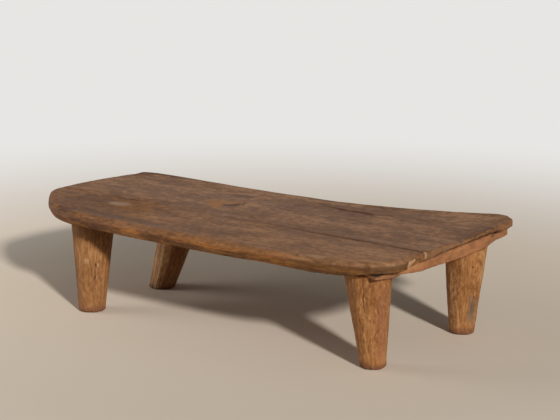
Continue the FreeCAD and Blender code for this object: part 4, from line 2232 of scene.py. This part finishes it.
def leg_ends(corner: Corner) -> tuple[Spot, Spot]:
    """Find the axis of a leg in the frame, from its foot through its wedge.

    Args:
        corner: The corner that the leg stands at.

    Returns:
        Where the axis meets the floor and the underside of the boards, in the plan.
    """
    mounts = {mount["name"]: mount["pos_m"] for mount in frame["record"]["mounts"]}
    foot = tuple(mounts["foot_" + corner.value][:2])
    wedge = [(a + b) / 2.0 for a, b in zip(*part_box("wedge_" + corner.value))]
    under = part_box("rear_plank")[0][2]
    stretch = under / wedge[2]
    top = tuple(start + (middle - start) * stretch for start, middle in zip(foot, wedge))
    return foot, top


@dataclass
class SideTable:
    """The whole table."""

    left_tips: Pair = (0.030, 0.011)
    right_tips: Pair = (0.045, 0.006)
    far_lift: float = 0.008
    long_split: tuple[Spot, ...] = (
        (0.055, 0.199), (0.103, 0.177), (0.149, 0.161), (0.184, 0.157), (0.207, 0.158), (0.239, 0.154),
        (0.265, 0.152), (0.275, 0.161), (0.298, 0.169), (0.327, 0.174), (0.36, 0.178),
    )
    knot_split: tuple[Spot, ...] = (
        (-0.114, 0.024), (-0.094, 0.040), (-0.079, 0.054), (-0.069, 0.069), (-0.074, 0.084), (-0.090, 0.092),
    )

    def __post_init__(self) -> None:
        """Find the legs in the frame and lay the battens' lines between them."""
        self.ends = {corner: leg_ends(corner) for corner in Corner}
        tops = {corner: ends[1] for corner, ends in self.ends.items()}
        self.left_line = BattenLine(tops[Corner.FRONT_LEFT], tops[Corner.BACK_LEFT], *self.left_tips)
        self.right_line = BattenLine(
            tops[Corner.FRONT_RIGHT], tops[Corner.BACK_RIGHT], *self.right_tips, far_lift=self.far_lift)

    def build(self) -> None:
        """Build and dress every piece."""
        self._boards()
        self._battens()
        self._legs()
        self._pegs()
        self._hidden()

    def _boards(self) -> None:
        """Make the two boards of the top."""
        splits = (
            BoardSplit(self.long_split, width=0.0024, depth=0.003, lip=0.0018),
            BoardSplit(self.knot_split, width=0.0024, depth=0.0015, lip=0.0012),
        )
        front = FrontBoard("front_plank", "front_board", seed=11, voxel=0.0029)
        rear = RearBoard("rear_plank", "rear_board", seed=31, voxel=0.0036, splits=splits)
        for board, finish in ((front, FRONT_FINISH), (rear, REAR_FINISH)):
            settle(board.build(), board.node, finish.material())

    def _battens(self) -> None:
        """Make the two cross battens."""
        finish = BATTEN_FINISH.material()
        left = Batten("left_batten", "left_cross_batten", seed=5, line=self.left_line)
        right = Batten(
            "right_batten", "right_cross_batten", seed=8, line=self.right_line,
            knot=(0.392, 0.232), tip_gap=0.005,
        )
        for batten in (left, right):
            settle(batten.build(), batten.node, finish)

    def _legs(self) -> None:
        """Make the four legs by one rule."""
        finish = LEG_FINISH.material()
        tree = LegTree()
        for leg in self._leg_list():
            settle(leg.build(tree, finish), leg.node, finish)

    def _leg_list(self) -> tuple[Leg, ...]:
        """Describe the legs, each with its own splits and stains.

        Returns:
            The four legs.
        """
        front_left = Leg(
            Corner.FRONT_LEFT, seed=3, line=self.left_line, ends=self.ends[Corner.FRONT_LEFT],
            foot_radius=0.0315, top_radius=0.0530, facet_turn=0.4, facet_depth=0.5, shifts=(0.0, -0.0050),
            splits=(
                Split(-36, 0.109, 0.120, 0.0022, 0.004, 0.9),
                Split(-38, 0.078, 0.092, 0.0018, 0.004, 0.7),
                Split(-39, 0.092, 0.108, 0.0007, 0.002, 0.2),
            ),
            stains=(
                Stain(-66, 0.125, 8.0, 0.006, Mark.RAW, 0.75),
                # Painted shade, with some grime: a dark band round the top of the leg, just under the boards.
                Stain(-53, 0.22, 150.0, 0.045, Mark.DIRT, 0.55),
                Stain(-53, 0.10, 150.0, 0.2, Mark.DIRT, 0.24),
            ),
        )
        front_right = Leg(
            Corner.FRONT_RIGHT, seed=6, line=self.right_line, ends=self.ends[Corner.FRONT_RIGHT],
            foot_radius=0.0290, top_radius=0.0525, facet_turn=1.3, facet_depth=0.6, shifts=(-0.0015, -0.0016),
            splits=(Split(-71, 0.135, 0.20, 0.0007, 0.0025, 0.2),),
            stains=(
                Stain(-22, 0.105, 16.0, 0.075, Mark.WEAR, 0.95),
                # Painted light: raw colour lightens the left of this leg, which the lamps leave darker than
                # its right.
                Stain(-75, 0.15, 22.0, 0.07, Mark.RAW, 0.36),
                Stain(8, 0.16, 12.0, 0.05, Mark.RAW, 0.35),
            ),
        )
        back_left = Leg(
            Corner.BACK_LEFT, seed=9, line=self.left_line, ends=self.ends[Corner.BACK_LEFT],
            foot_radius=0.0330, top_radius=0.0535, facet_turn=2.2, facet_depth=0.6,
            splits=(Split(-66, -0.02, 0.030, 0.0008, 0.004, 0.2),),
            stains=(
                # Painted light: raw and end-grain colour make the left side of this leg lighter and greyer,
                # as the light from the left falls on it.
                Stain(-96, 0.10, 34.0, 0.14, Mark.RAW, 0.6),
                Stain(-90, 0.10, 36.0, 0.14, Mark.END, 0.3),
                # Painted shade: darker colour on the right side of this leg, where the boards' shadow falls.
                Stain(-25, 0.12, 30.0, 0.16, Mark.DIRT, 0.26),
            ),
        )
        back_right = Leg(
            Corner.BACK_RIGHT, seed=12, line=self.right_line, ends=self.ends[Corner.BACK_RIGHT],
            foot_radius=0.0290, top_radius=0.0495, facet_turn=3.4, facet_depth=0.3, shifts=(0.001, 0.0),
            splits=(Split(-40, 0.165, 0.169, 0.0020, 0.005),),
            stains=(
                Stain(-24, 0.063, 15.0, 0.027, Mark.END, 0.95),
                Stain(-22, 0.068, 8.0, 0.012, Mark.DIRT, 0.35),
                Stain(4, 0.15, 16.0, 0.06, Mark.RAW, 0.5),
                # Painted light: raw colour lightens the left side of this leg, which only the fill lights.
                Stain(-95, 0.10, 30.0, 0.12, Mark.RAW, 0.42),
            ),
        )
        return front_left, front_right, back_left, back_right

    def _pegs(self) -> None:
        """Make the pegs under both battens by one rule."""
        finish = PEG_FINISH.material()
        tree = PegTree()
        for pegs in (Pegs("left", self.left_line), Pegs("right", self.right_line)):
            settle(pegs.build(tree, finish), pegs.node, finish)

    @staticmethod
    def _hidden() -> None:
        """Dress the dowels and wedges, which keep their frame shapes."""
        finish = HiddenFinish().material()
        for name, node in frame["nodes"].items():
            if name.startswith("wedge_") or name == "plank_dowels":
                for index in range(max(1, len(node.material_slots))):
                    if not node.material_slots:
                        node.data.materials.append(finish)
                    node.material_slots[index].material = finish
                log.info("%s: kept from the frame", name)


def main() -> None:
    """Build the table and its studio."""
    logging.basicConfig(level=logging.INFO, format="%(name)s: %(message)s")
    SideTable().build()
    Studio().build()


if __name__ == "__main__":
    main()
